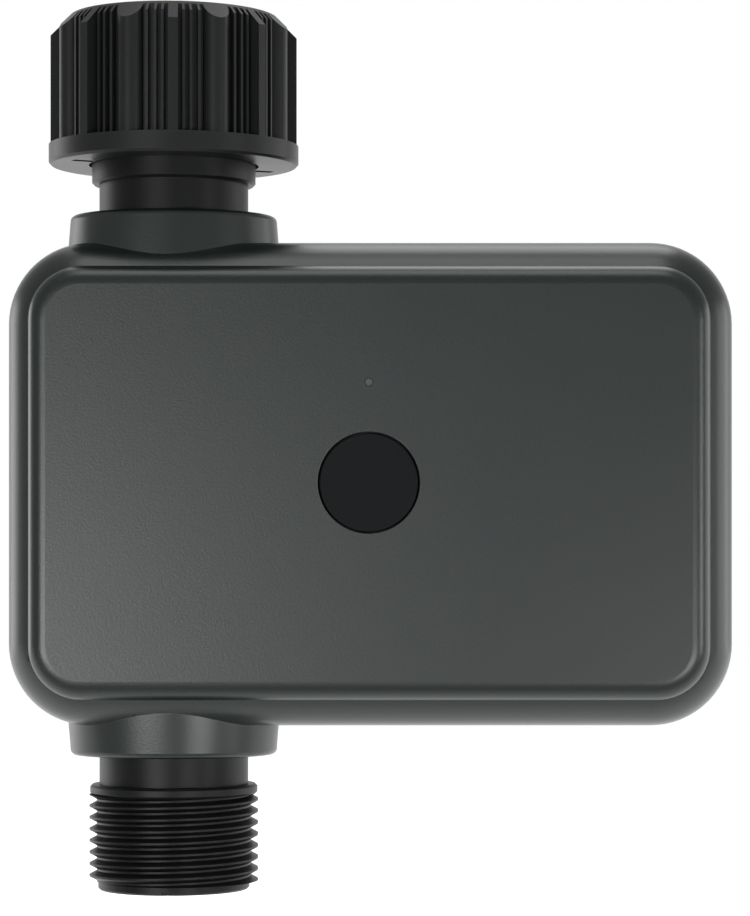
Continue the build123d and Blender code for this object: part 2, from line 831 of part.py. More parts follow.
def battery_holder():
    outer = holder_slab(
        OPENING_HALF_W + HOLDER_WALL, HOLDER_HALF, HOLDER_ROUND, -HOLDER_FLOOR, LEDGE_IN
    )
    inner = holder_slab(
        OPENING_HALF_W,
        HOLDER_INNER_HALF,
        HOLDER_ROUND - HOLDER_WALL,
        -HOLDER_FLOOR + HOLDER_WALL,
        LEDGE_IN + OVERRUN,
    )
    box = outer - inner
    edge = HOLDER_X - OPENING_HALF_W
    for y in battery_lead_ys():
        box -= rod_x(
            LEAD_R + LEAD_HOLE_GAP,
            edge - HOLDER_WALL - SEAT_GAP,
            edge + SEAT_GAP,
            y,
            BATTERY_LEAD_Z,
        )
    return box


def contact(x0, x1, y0, y1, side):
    low, high = CELL_END, HOLDER_INNER_HALF
    if side < 0:
        low, high = -high, -low
    return block(x0, x1, y0, y1, low, high)


def contact_arm(y_low, y_high):
    """The strip from an end plate along the side wall to where a lead is soldered."""
    edge = HOLDER_X - OPENING_HALF_W
    arm = block(
        edge, HOLDER_X - CELL_X - CONTACT_W / 4, y_low, y_high, -HOLDER_INNER_HALF, -CELL_END
    )
    return arm + block(edge, edge + CONTACT_T, y_low, y_high, -HOLDER_INNER_HALF, -CONTACT_ARM_Z)


def battery_contacts():
    half = CONTACT_W / 2
    left, right = HOLDER_X - CELL_X, HOLDER_X + CELL_X
    deep, near = -CELL_DEEP, CELL_NEAR
    first = contact(left - half, left + half, deep - half, deep + half, -1)
    first += contact_arm(deep + half - CONTACT_ARM_W, deep + half)
    last = contact(left - half, left + half, near - half, near + half, -1)
    last += contact_arm(near - half, near - half + CONTACT_ARM_W)
    across = contact(right - half, right + half, deep - half, near + half, -1)
    top_deep = contact(left - half, right + half, deep - half, deep + half, 1)
    top_near = contact(left - half, right + half, near - half, near + half, 1)
    return group(first, last, across, top_deep, top_near)


def battery_spring():
    """The spring between the flat end of a cell and its contact plate."""
    low, high = -CELL_END, -(CELL_END - (2 * CELL_END - CELL_L))
    height = high - low - 2 * SPRING_WIRE_R
    path = Helix(
        pitch=height / SPRING_TURNS, height=height, radius=SPRING_R, center=(0, 0, low + SPRING_WIRE_R)
    )
    section = Plane(origin=path @ 0, z_dir=path % 0) * Circle(SPRING_WIRE_R)
    return sweep(section, path=path, is_frenet=True)


def battery_springs():
    up = battery_spring()
    down = Rot(180, 0, 0) * up
    return group(*[Pos(x, y, 0) * (up if way > 0 else down) for x, y, way in cell_places()])


def battery_door():
    y = REAR_D - DOOR_T
    door = slab(2 * DOOR_HALF_W, 2 * DOOR_HALF_H, DOOR_R, HOLDER_X, y, REAR_D)
    door = fillet(edges_at_y(door, REAR_D), DOOR_EDGE)
    door -= door_seal_band(y, y + DOOR_SEAL_GROOVE, 0)
    for x, z in door_screw_places():
        door -= rod_y(SCREW_R + SCREW_PILOT_GAP, 0, REAR_D + OVERRUN, x, z)
        door -= rod_y(
            SCREW_HEAD_R + SCREW_HEAD_GAP, REAR_D - DOOR_SCREW_SINK, REAR_D + OVERRUN, x, z
        )
    return door


def door_seal_band(y_low, y_high, gap):
    margin = DOOR_SEAL_MARGIN + gap
    width = DOOR_SEAL_W - 2 * gap
    in_w, in_h = OPENING_HALF_W + margin, OPENING_HALF_H + margin
    out_w, out_h = in_w + width, in_h + width
    in_r = OPENING_R + margin
    band = slab(2 * out_w, 2 * out_h, in_r + width, HOLDER_X, y_low, y_high)
    return band - slab(2 * in_w, 2 * in_h, in_r, HOLDER_X, y_low - OVERRUN, y_high + OVERRUN)


def battery_door_gasket():
    return door_seal_band(
        LEDGE_Y + DOOR_SEAL_GAP, REAR_D - DOOR_T + DOOR_SEAL_GROOVE, FIT_GAP
    )


def battery_door_screws():
    seat = REAR_D - DOOR_SCREW_SINK
    one = screw(
        SCREW_R, SCREW_HEAD_R, DOOR_SCREW_HEAD_H, seat - DOOR_SCREW_DEPTH, SCREW_SOCKET_R, SCREW_SOCKET_D
    )
    return group(*[Pos(x, seat, z) * one for x, z in door_screw_places()])


# ---- leads
def lead(points):
    path = FilletPolyline(*points, radius=LEAD_BEND)
    return sweep(Plane(origin=path @ 0, z_dir=path % 0) * Circle(LEAD_R), path=path)


def battery_leads():
    edge = HOLDER_X - OPENING_HALF_W
    plug = PLUG_X + PLUG_W / 2
    leads = []
    for y, side in zip(battery_lead_ys(), (-1, 1)):
        z = BATTERY_PLUG_Z + side * LEAD_PITCH / 2
        run = LEAD_RUN_X - side * LEAD_PITCH / 2
        points = [
            (edge, y, BATTERY_LEAD_Z),
            (run, y, BATTERY_LEAD_Z),
            (run, -LEAD_Y, z),
            (plug, -LEAD_Y, z),
        ]
        leads.append(lead(points))
    return group(*leads)


def motor_leads():
    plug = PLUG_X + PLUG_W / 2
    x = COVER_END + MOTOR_L - MOTOR_TERMINAL_L / 2
    leads = []
    for side in (-1, 1):
        z = MOTOR_AT[1] + side * LEAD_PITCH / 2
        points = [
            (x, MOTOR_AT[0] - MOTOR_TERMINAL_REACH, z),
            (x, MOTOR_LEAD_DROP_Y, z),
            (x, -LEAD_Y, z - MOTOR_LEAD_FALL),
            (plug, -LEAD_Y, z - MOTOR_LEAD_FALL),
        ]
        leads.append(lead(points))
    return group(*leads)


# ---- pipe line
def thread_ridge(low, high):
    """The helical ridge of the pipe thread between two heights, its root sunk below the minor radius."""
    slope = (THREAD_PITCH - 2 * THREAD_FLAT) / 2 / (THREAD_MAJOR_R - THREAD_MINOR_R)
    r0, r1 = THREAD_MINOR_R - THREAD_SINK, THREAD_MAJOR_R
    start = low - THREAD_PITCH
    wide = (THREAD_PITCH - THREAD_FLAT) / 2 + slope * THREAD_SINK
    narrow = THREAD_FLAT / 2
    path = Helix(
        pitch=THREAD_PITCH,
        height=high - low + 2 * THREAD_PITCH,
        radius=THREAD_MINOR_R,
        center=(0, 0, start),
    )
    corners = [(r0, start - wide), (r1, start - narrow), (r1, start + narrow), (r0, start + wide)]
    return sweep(Plane.XZ * make_face(Polyline(*corners, close=True)), path=path, is_frenet=True)


def trimmed(shape, low, high):
    reach = 4 * THREAD_PITCH
    r = THREAD_MAJOR_R + OVERRUN
    return shape - rod_z(r, low - reach, low) - rod_z(r, high, high + reach)


def pipe_plug(side):
    """The end that plugs into the ball chamber, with its seal groove and flange."""
    r = CHAMBER_BORE_R - PIPE_PLUG_GAP
    tip = CHAMBER_HALF - PIPE_PLUG_L
    seal = tip + PIPE_SEAL_IN
    groove = CHAMBER_BORE_R - PIPE_SEAL_GAP - 2 * PIPE_SEAL_WIRE_R
    half = PIPE_SEAL_WIRE_R + PIPE_SEAL_GAP
    points = [
        (0, tip),
        (r, tip),
        (r, seal - half),
        (groove, seal - half),
        (groove, seal + half),
        (r, seal + half),
        (r, CHAMBER_HALF),
        (CHAMBER_R, CHAMBER_HALF),
        (CHAMBER_R, FLANGE_Z),
        (0, FLANGE_Z),
    ]
    plug = revolved(points)
    return plug if side > 0 else Rot(180, 0, 0) * plug


def inlet_pipe():
    pipe = pipe_plug(1) + rod_z(NECK_R, FLANGE_Z, INLET_RING_Z)
    ring = rod_z(INLET_RING_R, INLET_RING_Z, SPIGOT_Z)
    pipe += chamfer(ring.edges(), PIPE_STOP_EDGE)
    pipe += rod_z(SPIGOT_R, SPIGOT_Z, SLEEVE_Z)
    pipe -= rod_z(PIPE_BORE_R, 0, SLEEVE_Z + OVERRUN)
    return pipe - rod_z(SLEEVE_R, SLEEVE_Z - SLEEVE_DEPTH, SLEEVE_Z + OVERRUN)


def inlet_sleeve():
    sleeve = rod_z(SLEEVE_R - FIT_GAP, SLEEVE_Z - SLEEVE_DEPTH, SLEEVE_Z)
    sleeve += rod_z(SLEEVE_FLANGE_R, SLEEVE_Z, FILTER_Z)
    return sleeve - rod_z(SLEEVE_R - SLEEVE_WALL, 0, SLEEVE_Z + OVERRUN)


def inlet_filter():
    low = WASHER_Z - FILTER_CUP_L
    inner = FILTER_CUP_R - FILTER_CUP_WALL
    cup = rod_z(FILTER_CUP_R, low, WASHER_Z) + rod_z(FILTER_RIM_R, FILTER_Z, WASHER_Z)
    cup -= rod_z(inner, low + FILTER_FLOOR_T, WASHER_Z + OVERRUN)
    middle = low + FILTER_FLOOR_T + FILTER_SLOT_L / 2
    slot = Pos(inner, 0, middle) * Box(2 * FILTER_CUP_WALL + OVERRUN, FILTER_SLOT_W, FILTER_SLOT_L)
    slot = slot & ring_z(FILTER_CUP_R + SEAT_GAP, inner - SEAT_GAP, low, WASHER_Z)
    for n in range(FILTER_SLOTS):
        cup -= Rot(0, 0, 360 * n / FILTER_SLOTS) * slot
    hole = rod_z(FILTER_SLOT_W / 2, low - OVERRUN, low + OVERRUN / 2, inner / 2)
    for n in range(FILTER_SLOTS // 2):
        cup -= Rot(0, 0, 720 * n / FILTER_SLOTS) * hole
    return cup


def inlet_washer():
    return ring_z(WASHER_R, WASHER_BORE_R, WASHER_Z, SEAL_Z)


def outlet_pipe():
    pipe = pipe_plug(-1) + rod_z(NECK_R, -OUTLET_RING_Z, -FLANGE_Z)
    ring = rod_z(OUTLET_RING_R, -THREAD_TOP, -OUTLET_RING_Z)
    pipe += chamfer(ring.edges(), PIPE_STOP_EDGE)
    thread = rod_z(THREAD_MINOR_R, -THREAD_END - 2 * THREAD_PITCH, -THREAD_TOP + 2 * THREAD_PITCH)
    thread += thread_ridge(-THREAD_END, -THREAD_TOP)
    pipe += trimmed(thread, -THREAD_END, -THREAD_TOP)
    pilot = rod_z(PILOT_R, -OUTLET_END, -THREAD_END)
    pipe += chamfer(pilot.edges().filter_by_position(Axis.Z, -OUTLET_END, -OUTLET_END), PILOT_EDGE)
    pipe -= rod_z(PIPE_BORE_R, -OUTLET_END - OVERRUN, 0)
    gate = Pos(0, -PILOT_R, -OUTLET_END) * Box(GATE_W, 2 * GATE_H, 2 * GATE_H)
    return pipe - gate


def pipe_o_rings():
    z = CHAMBER_HALF - PIPE_PLUG_L + PIPE_SEAL_IN
    r = CHAMBER_BORE_R - PIPE_SEAL_GAP - PIPE_SEAL_WIRE_R
    ring = Torus(r, PIPE_SEAL_WIRE_R)
    return group(Pos(0, 0, z) * ring, Pos(0, 0, -z) * ring)


def valve_body():
    body = rod_z(CHAMBER_R, -CHAMBER_HALF, CHAMBER_HALF) + rod_x(BOSS_R, 0, MOUNT_X)
    plate = block(
        CHAMBER_BORE_R / 2, MOUNT_X, -MOUNT_HALF_Y, MOUNT_HALF_Y, -MOUNT_HALF_Z, MOUNT_HALF_Z
    )
    body += fillet(plate.edges().filter_by(Axis.X), MOUNT_EDGE)
    body -= rod_z(CHAMBER_BORE_R, -CHAMBER_HALF - OVERRUN, CHAMBER_HALF + OVERRUN)
    body -= rod_x(STEM_SHOULDER_R + STEM_RECESS_GAP, 0, RECESS_END)
    body -= rod_x(STEM_R + STEM_GAP, 0, MOUNT_X + OVERRUN)
    for y, z in actuator_screw_places():
        body -= rod_x(
            ACTUATOR_SCREW_R + SCREW_PILOT_GAP,
            MOUNT_X - ACTUATOR_SCREW_DEPTH - SCREW_PILOT_GAP,
            MOUNT_X + OVERRUN,
            y,
            z,
        )
    return body


def seat_ring(side):
    tip = CHAMBER_HALF - PIPE_PLUG_L
    ring = ring_z(CHAMBER_BORE_R - PIPE_PLUG_GAP, PIPE_BORE_R, tip - SEAT_RING_L, tip)
    ring -= Sphere(BALL_R + SEAT_GAP_BALL)
    return ring if side > 0 else Rot(180, 0, 0) * ring


def valve_ball():
    """Closed: the bore of the ball lies across the pipe."""
    ball = Sphere(BALL_R) - rod_y(BALL_BORE_R, -BALL_R - OVERRUN, BALL_R + OVERRUN)
    half = STEM_TONGUE_W / 2 + STEM_SLOT_GAP
    return ball - block(BALL_R - STEM_SLOT_D, BALL_R + OVERRUN, -BALL_R, BALL_R, -half, half)


def stem_section(gap):
    return Circle(STEM_R + gap) & Rectangle(2 * (STEM_FLAT_HALF + gap), 4 * STEM_R)


def valve_stem():
    half = STEM_TONGUE_W / 2
    stem = block(
        BALL_R - STEM_SLOT_D + STEM_SLOT_END,
        STEM_NECK_X,
        -STEM_TONGUE_HALF,
        STEM_TONGUE_HALF,
        -half,
        half,
    )
    stem += rod_x(STEM_SHOULDER_R, STEM_NECK_X, STEM_SHOULDER_END)
    stem += rod_x(STEM_R, STEM_SHOULDER_END, STEM_FLAT_FROM)
    section = Plane.YZ.offset(STEM_FLAT_FROM) * stem_section(0)
    stem += extrude(section, amount=STEM_DRIVE_END - STEM_FLAT_FROM)
    stem += rod_x(STEM_JOURNAL_R, STEM_DRIVE_END, COVER_END - STEM_JOURNAL_IN)
    groove = STEM_R + STEM_SEAL_OUT - 2 * STEM_SEAL_WIRE_R
    half_groove = STEM_SEAL_WIRE_R + STEM_SEAL_OUT
    for x in STEM_SEAL_XS:
        stem -= ring_x(STEM_R + OVERRUN, groove, x - half_groove, x + half_groove)
    return stem


def stem_o_rings():
    r = STEM_R + STEM_SEAL_OUT - STEM_SEAL_WIRE_R
    ring = Rot(0, 90, 0) * Torus(r, STEM_SEAL_WIRE_R)
    return group(*[Pos(x, 0, 0) * ring for x in STEM_SEAL_XS])


def stem_washer():
    return ring_x(STEM_SHOULDER_R, STEM_R + STEM_GAP, STEM_WASHER_X + STEM_SEAL_OUT, RECESS_END)


# ---- inlet nut
def nut_outline():
    outline = Circle(NUT_BASE_R)
    length = RIB_R - NUT_BASE_R / 2
    rib = Pos(RIB_R - length / 2, 0) * Rectangle(length, RIB_W)
    fine_length = FINE_RIB_R - NUT_BASE_R / 2
    fine = Pos(FINE_RIB_R - fine_length / 2, 0) * Rectangle(fine_length, FINE_RIB_W)
    lobe = Pos(LOBE_REACH_R - LOBE_R, 0) * Circle(LOBE_R)
    step = 360 / NUT_SIDES
    for n in range(NUT_SIDES):
        at = NUT_FIRST_RIB - 90 + n * step
        outline += Rot(0, 0, at) * rib
        outline += Rot(0, 0, at + step / 2) * lobe
        for angle in FINE_RIB_ANGLES:
            outline += Rot(0, 0, at + angle) * fine
            outline += Rot(0, 0, at - angle) * fine
    return outline


def nut_envelope():
    """The flange and the coned top that every rib and lobe is cut back to."""
    points = [
        (0, NUT_Z),
        (NUT_FLANGE_R - NUT_FLANGE_EDGE, NUT_Z),
        (NUT_FLANGE_R, NUT_Z + NUT_FLANGE_EDGE),
        (NUT_FLANGE_R, NUT_TOP - NUT_TOP_CHAMFER - NUT_FLANGE_R + RIB_R),
        (RIB_R - NUT_TOP_CHAMFER, NUT_TOP),
        (0, NUT_TOP),
    ]
    return revolved(points)


def inlet_nut():
    nut = extrude(Plane.XY.offset(NUT_Z) * nut_outline(), amount=NUT_H)
    flange_top = NUT_Z + NUT_FLANGE_H
    flange = rod_z(NUT_FLANGE_R, NUT_Z, flange_top)
    nut = (nut + flange) & nut_envelope()
    nut -= rod_z(NUT_LIP_R, NUT_Z - OVERRUN, NUT_TOP + OVERRUN)
    nut -= rod_z(NUT_SKIRT_R, NUT_Z - OVERRUN, LIP_Z)
    nut -= rod_z(THREAD_MINOR_R, LIP_TOP, NUT_TOP + OVERRUN)
    nut -= rod_z(NUT_UNDERCUT_R, LIP_TOP, LIP_TOP + NUT_UNDERCUT_H)
    nut -= rod_z(NUT_MOUTH_R, NUT_TOP - NUT_MOUTH_L, NUT_TOP + OVERRUN)
    low, high = LIP_TOP + NUT_UNDERCUT_H / 2, NUT_TOP - NUT_MOUTH_L / 2
    nut -= trimmed(thread_ridge(low, high), low, high)
    notch = block(0, NUT_NOTCH_R, -NUT_NOTCH_W / 2, NUT_NOTCH_W / 2, NUT_Z - OVERRUN, NUT_Z + NUT_NOTCH_H)
    notch -= rod_z(NUT_SKIRT_R - SEAT_GAP, NUT_Z - 2 * OVERRUN, NUT_TOP)
    for angle in NUT_NOTCH_ANGLES:
        nut -= Rot(0, 0, angle - 90) * notch
    return nut


# ---- gear train
def involute(angle):
    return tan(angle) - angle


def gear_outline(teeth, phase):
    """A stub involute outline, one tooth centred on the given angle."""
    pitch_r = GEAR_MODULE * teeth / 2
    base_r = pitch_r * cos(radians(GEAR_PRESSURE))
    tip_r = gear_tip(teeth)
    root_r = pitch_r - GEAR_MODULE * GEAR_DEDENDUM
    half = pi / (2 * teeth) - GEAR_BACKLASH / (2 * pitch_r)
    at_pitch = involute(radians(GEAR_PRESSURE))
    start = max(base_r, root_r)
    flank = [(root_r, half + at_pitch - involute(acos(base_r / start)))]
    for share in (0, 1 / 3, 2 / 3, 1):
        r = start + share * (tip_r - start)
        flank.append((r, half + at_pitch - involute(acos(min(base_r / r, 1)))))
    if root_r >= base_r:
        flank = flank[1:]
    points = []
    for n in range(teeth):
        middle = radians(phase) + 2 * pi * n / teeth
        for r, a in flank:
            points.append((r * cos(middle - a), r * sin(middle - a)))
        for r, a in reversed(flank):
            points.append((r * cos(middle + a), r * sin(middle + a)))
    return make_face(Polyline(*points, close=True))


def gear(teeth, phase, low, high, at):
    face = Plane.YZ.offset(low) * Pos(*at) * gear_outline(teeth, phase)
    return extrude(face, amount=high - low)


def facing_gap(teeth, angle):
    """The phase that turns a gap between teeth towards the given angle."""
    return angle + 180 / teeth


def output_gear():
    wheel = gear(OUTPUT_TEETH, IDLER_2_ANGLE, LAYER_A_X, LAYER_A_X + LAYER_A, OUTPUT_AT)
    hole = extrude(
        Plane.YZ.offset(LAYER_A_X - OVERRUN) * stem_section(STEM_GAP), amount=LAYER_A + 2 * OVERRUN
    )
    return wheel - hole


def idler_gear_2():
    pinion = gear(
        IDLER_TEETH,
        facing_gap(IDLER_TEETH, IDLER_2_ANGLE + 180),
        LAYER_A_X,
        LAYER_B_X,
        IDLER_2_AT,
    )
    wheel = gear(WHEEL_TEETH, IDLER_1_ANGLE, LAYER_B_X, LAYER_B_X + WHEEL_T, IDLER_2_AT)
    return pinion + wheel - rod_x(AXLE_R + AXLE_GAP, 0, COVER_END, *IDLER_2_AT)


def idler_gear_1():
    pinion = gear(
        IDLER_TEETH,
        facing_gap(IDLER_TEETH, IDLER_1_ANGLE + 180),
        LAYER_B_X,
        LAYER_C_X,
        IDLER_1_AT,
    )
    wheel = gear(WHEEL_TEETH, PINION_ANGLE, LAYER_C_X, LAYER_C_X + WHEEL_T, IDLER_1_AT)
    return pinion + wheel - rod_x(AXLE_R + AXLE_GAP, 0, COVER_END, *IDLER_1_AT)


def motor_pinion():
    pinion = gear(
        MOTOR_TEETH,
        facing_gap(MOTOR_TEETH, PINION_ANGLE + 180),
        LAYER_C_X - SHAFT_PLAY,
        LAYER_C_X + WHEEL_T + SHAFT_PLAY,
        MOTOR_AT,
    )
    return pinion - rod_x(MOTOR_SHAFT_R, 0, COVER_END, *MOTOR_AT)


def motor_shaft():
    return rod_x(
        MOTOR_SHAFT_R, LAYER_C_X - SHAFT_PLAY, COVER_END + MOTOR_L / 2, *MOTOR_AT
    )


def gear_axles():
    low, high = MOUNT_X + AXLE_SEAT, COVER_X + AXLE_SEAT
    return group(rod_x(AXLE_R, low, high, *IDLER_2_AT), rod_x(AXLE_R, low, high, *IDLER_1_AT))


def case_outline(grow):
    """The outline round all four gear axes, drawn at the tooth tips and grown by a margin."""
    rounds = [
        (OUTPUT_AT, gear_tip(OUTPUT_TEETH)),
        (IDLER_2_AT, gear_tip(WHEEL_TEETH)),
        (IDLER_1_AT, gear_tip(WHEEL_TEETH)),
        (MOTOR_AT, MOTOR_R - GEAR_CLEAR),
    ]
    face = Sketch()
    for (y, z), r in rounds:
        face += Pos(y, z) * Circle(r + grow)
    return make_hull(face.edges())


def case_screw_places():
    low = gear_tip(OUTPUT_TEETH) + CASE_BOSS_R + CASE_BOSS_GAP
    high = gear_tip(WHEEL_TEETH) + CASE_BOSS_R + CASE_BOSS_GAP
    edge = low * cos(radians(45))
    top = high * cos(radians(45))
    return [
        (-edge, -edge),
        (edge, -edge),
        (IDLER_1_AT[0] - top, IDLER_1_AT[1] + top),
        (IDLER_1_AT[0] + top, IDLER_1_AT[1] + top),
    ]


def actuator_screw_places():
    y, z = ACTUATOR_SCREW_Y, ACTUATOR_SCREW_Z
    return [(-y, z), (-y, -z), (y, -z)]


def gearbox_case():
    wall = GEAR_CLEAR + CASE_WALL
    case = extrude(Plane.YZ.offset(MOUNT_X) * case_outline(wall), amount=COVER_X - MOUNT_X)
    hollow = extrude(Plane.YZ.offset(CASE_X) * case_outline(GEAR_CLEAR), amount=COVER_X)
    case -= hollow
    for y, z in case_screw_places():
        case += rod_x(CASE_BOSS_R, MOUNT_X, COVER_X, y, z)
    for y, z in case_screw_places():
        case -= rod_x(
            CASE_SCREW_R + CASE_PILOT_GAP,
            COVER_END - CASE_SCREW_L - CASE_PILOT_GAP,
            COVER_END,
            y,
            z,
        )
    case -= rod_x(STEM_R + CASE_BOSS_GAP, 0, CASE_X + SEAT_GAP)
    for at in (IDLER_2_AT, IDLER_1_AT):
        case -= rod_x(AXLE_R + FIT_GAP, MOUNT_X + AXLE_SEAT, CASE_X + SEAT_GAP, *at)
    for y, z in actuator_screw_places():
        case -= rod_x(ACTUATOR_SCREW_R + CASE_PILOT_GAP, 0, CASE_X + SEAT_GAP, y, z)
        case -= actuator_head(y, z, CASE_PILOT_GAP)
    return case


def actuator_head(y, z, grow):
    face = Plane.YZ.offset(CASE_X) * Pos(y, z) * Circle(ACTUATOR_HEAD_R + grow)
    small = Plane.YZ.offset(CASE_X - ACTUATOR_HEAD_H) * Pos(y, z) * Circle(ACTUATOR_SCREW_R + grow)
    return loft([small, face], ruled=True)


def actuator_screws():
    screws = []
    for y, z in actuator_screw_places():
        one = rod_x(ACTUATOR_SCREW_R, MOUNT_X - ACTUATOR_SCREW_DEPTH, CASE_X - ACTUATOR_HEAD_H, y, z)
        one += actuator_head(y, z, 0)
        screws.append(one)
    return group(*screws)


def gearbox_cover():
    wall = GEAR_CLEAR + CASE_WALL
    cover = extrude(Plane.YZ.offset(COVER_X) * case_outline(wall), amount=COVER_T)
    for y, z in case_screw_places():
        cover += rod_x(CASE_BOSS_R, COVER_X, COVER_END, y, z)
    cup_r = MOTOR_R + MOTOR_CUP_WALL
    cover += rod_x(cup_r, COVER_X, COVER_END + MOTOR_CUP_L, *MOTOR_AT)
    cover -= motor_can(COVER_END, COVER_END + MOTOR_CUP_L + OVERRUN, SEAT_GAP)
    cover -= rod_x(MOTOR_BOSS_R + SEAT_GAP, COVER_X - OVERRUN, COVER_END + SEAT_GAP, *MOTOR_AT)
    cover -= rod_x(STEM_JOURNAL_R + STEM_GAP, COVER_X - OVERRUN, COVER_END + OVERRUN)
    for at in (IDLER_2_AT, IDLER_1_AT):
        cover -= rod_x(AXLE_R + FIT_GAP, COVER_X - OVERRUN, COVER_X + AXLE_SEAT, *at)
    for y, z in case_screw_places():
        cover -= rod_x(CASE_SCREW_R + CASE_PILOT_GAP, COVER_X - OVERRUN, COVER_END + OVERRUN, y, z)
    return cover


def gearbox_screws():
    screws = []
    for y, z in case_screw_places():
        one = rod_x(CASE_SCREW_R, COVER_END - CASE_SCREW_L, COVER_END, y, z)
        one += rod_x(CASE_SCREW_HEAD_R, COVER_END, COVER_END + CASE_SCREW_HEAD_H, y, z)
        one -= block(
            COVER_END + CASE_SCREW_HEAD_H / 2,
            COVER_END + 2 * CASE_SCREW_HEAD_H,
            y - CASE_SCREW_HEAD_R / 6,
            y + CASE_SCREW_HEAD_R / 6,
            z - CASE_SCREW_HEAD_R * 2 / 3,
            z + CASE_SCREW_HEAD_R * 2 / 3,
        )
        screws.append(one)
    return group(*screws)


def motor_can(low, high, grow):
    y, z = MOTOR_AT
    can = rod_x(MOTOR_R + grow, low, high, y, z)
    reach = MOTOR_R + OVERRUN
    flat = MOTOR_FLAT + grow
    return can & block(low, high, y - reach, y + reach, z - flat, z + flat)


def motor():
    y, z = MOTOR_AT
    end = COVER_END + MOTOR_L
    can = motor_can(COVER_END, end, 0)
    can += rod_x(MOTOR_BOSS_R, COVER_END - MOTOR_BOSS_L, COVER_END, y, z)
    can += block(
        end - MOTOR_TERMINAL_L,
        end,
        y - MOTOR_TERMINAL_REACH,
        y,
        z - MOTOR_TERMINAL_W / 2,
        z + MOTOR_TERMINAL_W / 2,
    )
    return can - rod_x(
        MOTOR_SHAFT_R + MOTOR_SHAFT_GAP, 0, COVER_END + MOTOR_L / 2 + MOTOR_SHAFT_GAP, y, z
    )


PARTS = {
    "front_shell": front_shell,
    "rear_shell": rear_shell,
    "shell_gasket": shell_gasket,
    "neck_seals": neck_seals,
    "shell_screws": shell_screws,
    "button": button,
    "button_o_ring": button_o_ring,
    "light_pipe": light_pipe,
    "main_pcb": main_pcb,
    "switch_body": switch_body,
    "switch_plunger": switch_plunger,
    "status_led": status_led,
    "radio_module": radio_module,
    "controller_chip": controller_chip,
    "connectors": connectors,
    "pcb_screws": pcb_screws,
    "battery_holder": battery_holder,
    "aa_cells": aa_cells,
    "battery_contacts": battery_contacts,
    "battery_springs": battery_springs,
    "battery_door": battery_door,
    "battery_door_gasket": battery_door_gasket,
    "battery_door_screws": battery_door_screws,
    "battery_leads": battery_leads,
    "motor_leads": motor_leads,
    "inlet_nut": inlet_nut,
    "inlet_washer": inlet_washer,
    "inlet_filter": inlet_filter,
    "inlet_sleeve": inlet_sleeve,
    "inlet_pipe": inlet_pipe,
    "outlet_pipe": outlet_pipe,
    "pipe_o_rings": pipe_o_rings,
    "valve_body": valve_body,
    "upper_seat": lambda: seat_ring(1),
    "lower_seat": lambda: seat_ring(-1),
    "valve_ball": valve_ball,
    "valve_stem": valve_stem,
    "stem_o_rings": stem_o_rings,
    "stem_washer": stem_washer,
    "gearbox_case": gearbox_case,
    "gearbox_cover": gearbox_cover,
    "gearbox_screws": gearbox_screws,
    "actuator_screws": actuator_screws,
    "output_gear": output_gear,
    "idler_gear_1": idler_gear_1,
    "idler_gear_2": idler_gear_2,
    "gear_axles": gear_axles,
    "motor": motor,
    "motor_shaft": motor_shaft,
    "motor_pinion": motor_pinion,
}

os.makedirs("parts", exist_ok=True)
for name, make in PARTS.items():
    export_step(Pos(0, 0, -NUT_TOP) * make(), f"parts/{name}.step")
    print(name)
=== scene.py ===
# %% [markdown]
# # A battery powered water valve, dressed in Blender
#
# The solid model of the valve is finished before this lesson starts. Every piece already has its
# true size and its true place, so nothing here moves or reshapes it. What is left is what an eye
# judges: plastics, rubber, metal and light.
#
# The first step loads the model. Everything is in metres, the pipe runs up along Z, and the front
# with the button faces minus Y. The box round the model is measured and printed.

# %% Load the valve
from math import cos, radians, sin

import bpy
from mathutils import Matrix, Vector


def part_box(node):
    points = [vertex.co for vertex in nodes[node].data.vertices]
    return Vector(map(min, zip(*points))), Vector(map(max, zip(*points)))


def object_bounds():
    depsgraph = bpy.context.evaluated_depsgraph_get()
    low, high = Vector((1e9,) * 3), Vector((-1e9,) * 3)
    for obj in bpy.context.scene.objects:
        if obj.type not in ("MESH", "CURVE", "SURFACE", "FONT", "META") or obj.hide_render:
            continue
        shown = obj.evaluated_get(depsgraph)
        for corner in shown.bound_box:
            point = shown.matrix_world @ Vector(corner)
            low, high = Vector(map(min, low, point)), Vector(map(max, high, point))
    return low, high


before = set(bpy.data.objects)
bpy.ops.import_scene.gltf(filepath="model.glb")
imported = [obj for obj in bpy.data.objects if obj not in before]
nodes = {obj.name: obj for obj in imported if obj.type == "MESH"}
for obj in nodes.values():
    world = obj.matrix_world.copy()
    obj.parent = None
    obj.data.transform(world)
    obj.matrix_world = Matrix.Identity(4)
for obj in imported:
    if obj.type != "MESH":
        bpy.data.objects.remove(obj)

cad_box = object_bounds()
print(len(nodes), "nodes; the model's box in mm:",
      [[round(v * 1000, 1) for v in corner] for corner in cad_box])

# %% [markdown]
# ## The camera
#
# The two round collars show their undersides and the housing shows its right wall, so the lens
# stood to the right of the pipe, a little below the middle of the housing, and about half a metre
# away. A camera could be turned to point at the middle of the picture, but then the upright edges
# would lean. They don't lean in the photograph, so the camera looks straight along Y and its
# sensor is shifted, as on a product photographer's view camera.

# %% Place the camera
MM = 0.001
EYE = Vector((42.76, -500.0, -85.1)) * MM
PICTURE_W, PICTURE_H = 750, 916
MM_PER_PIXEL = 0.1572
EYE_PIXEL = (446, 560)
SENSOR = 36.0

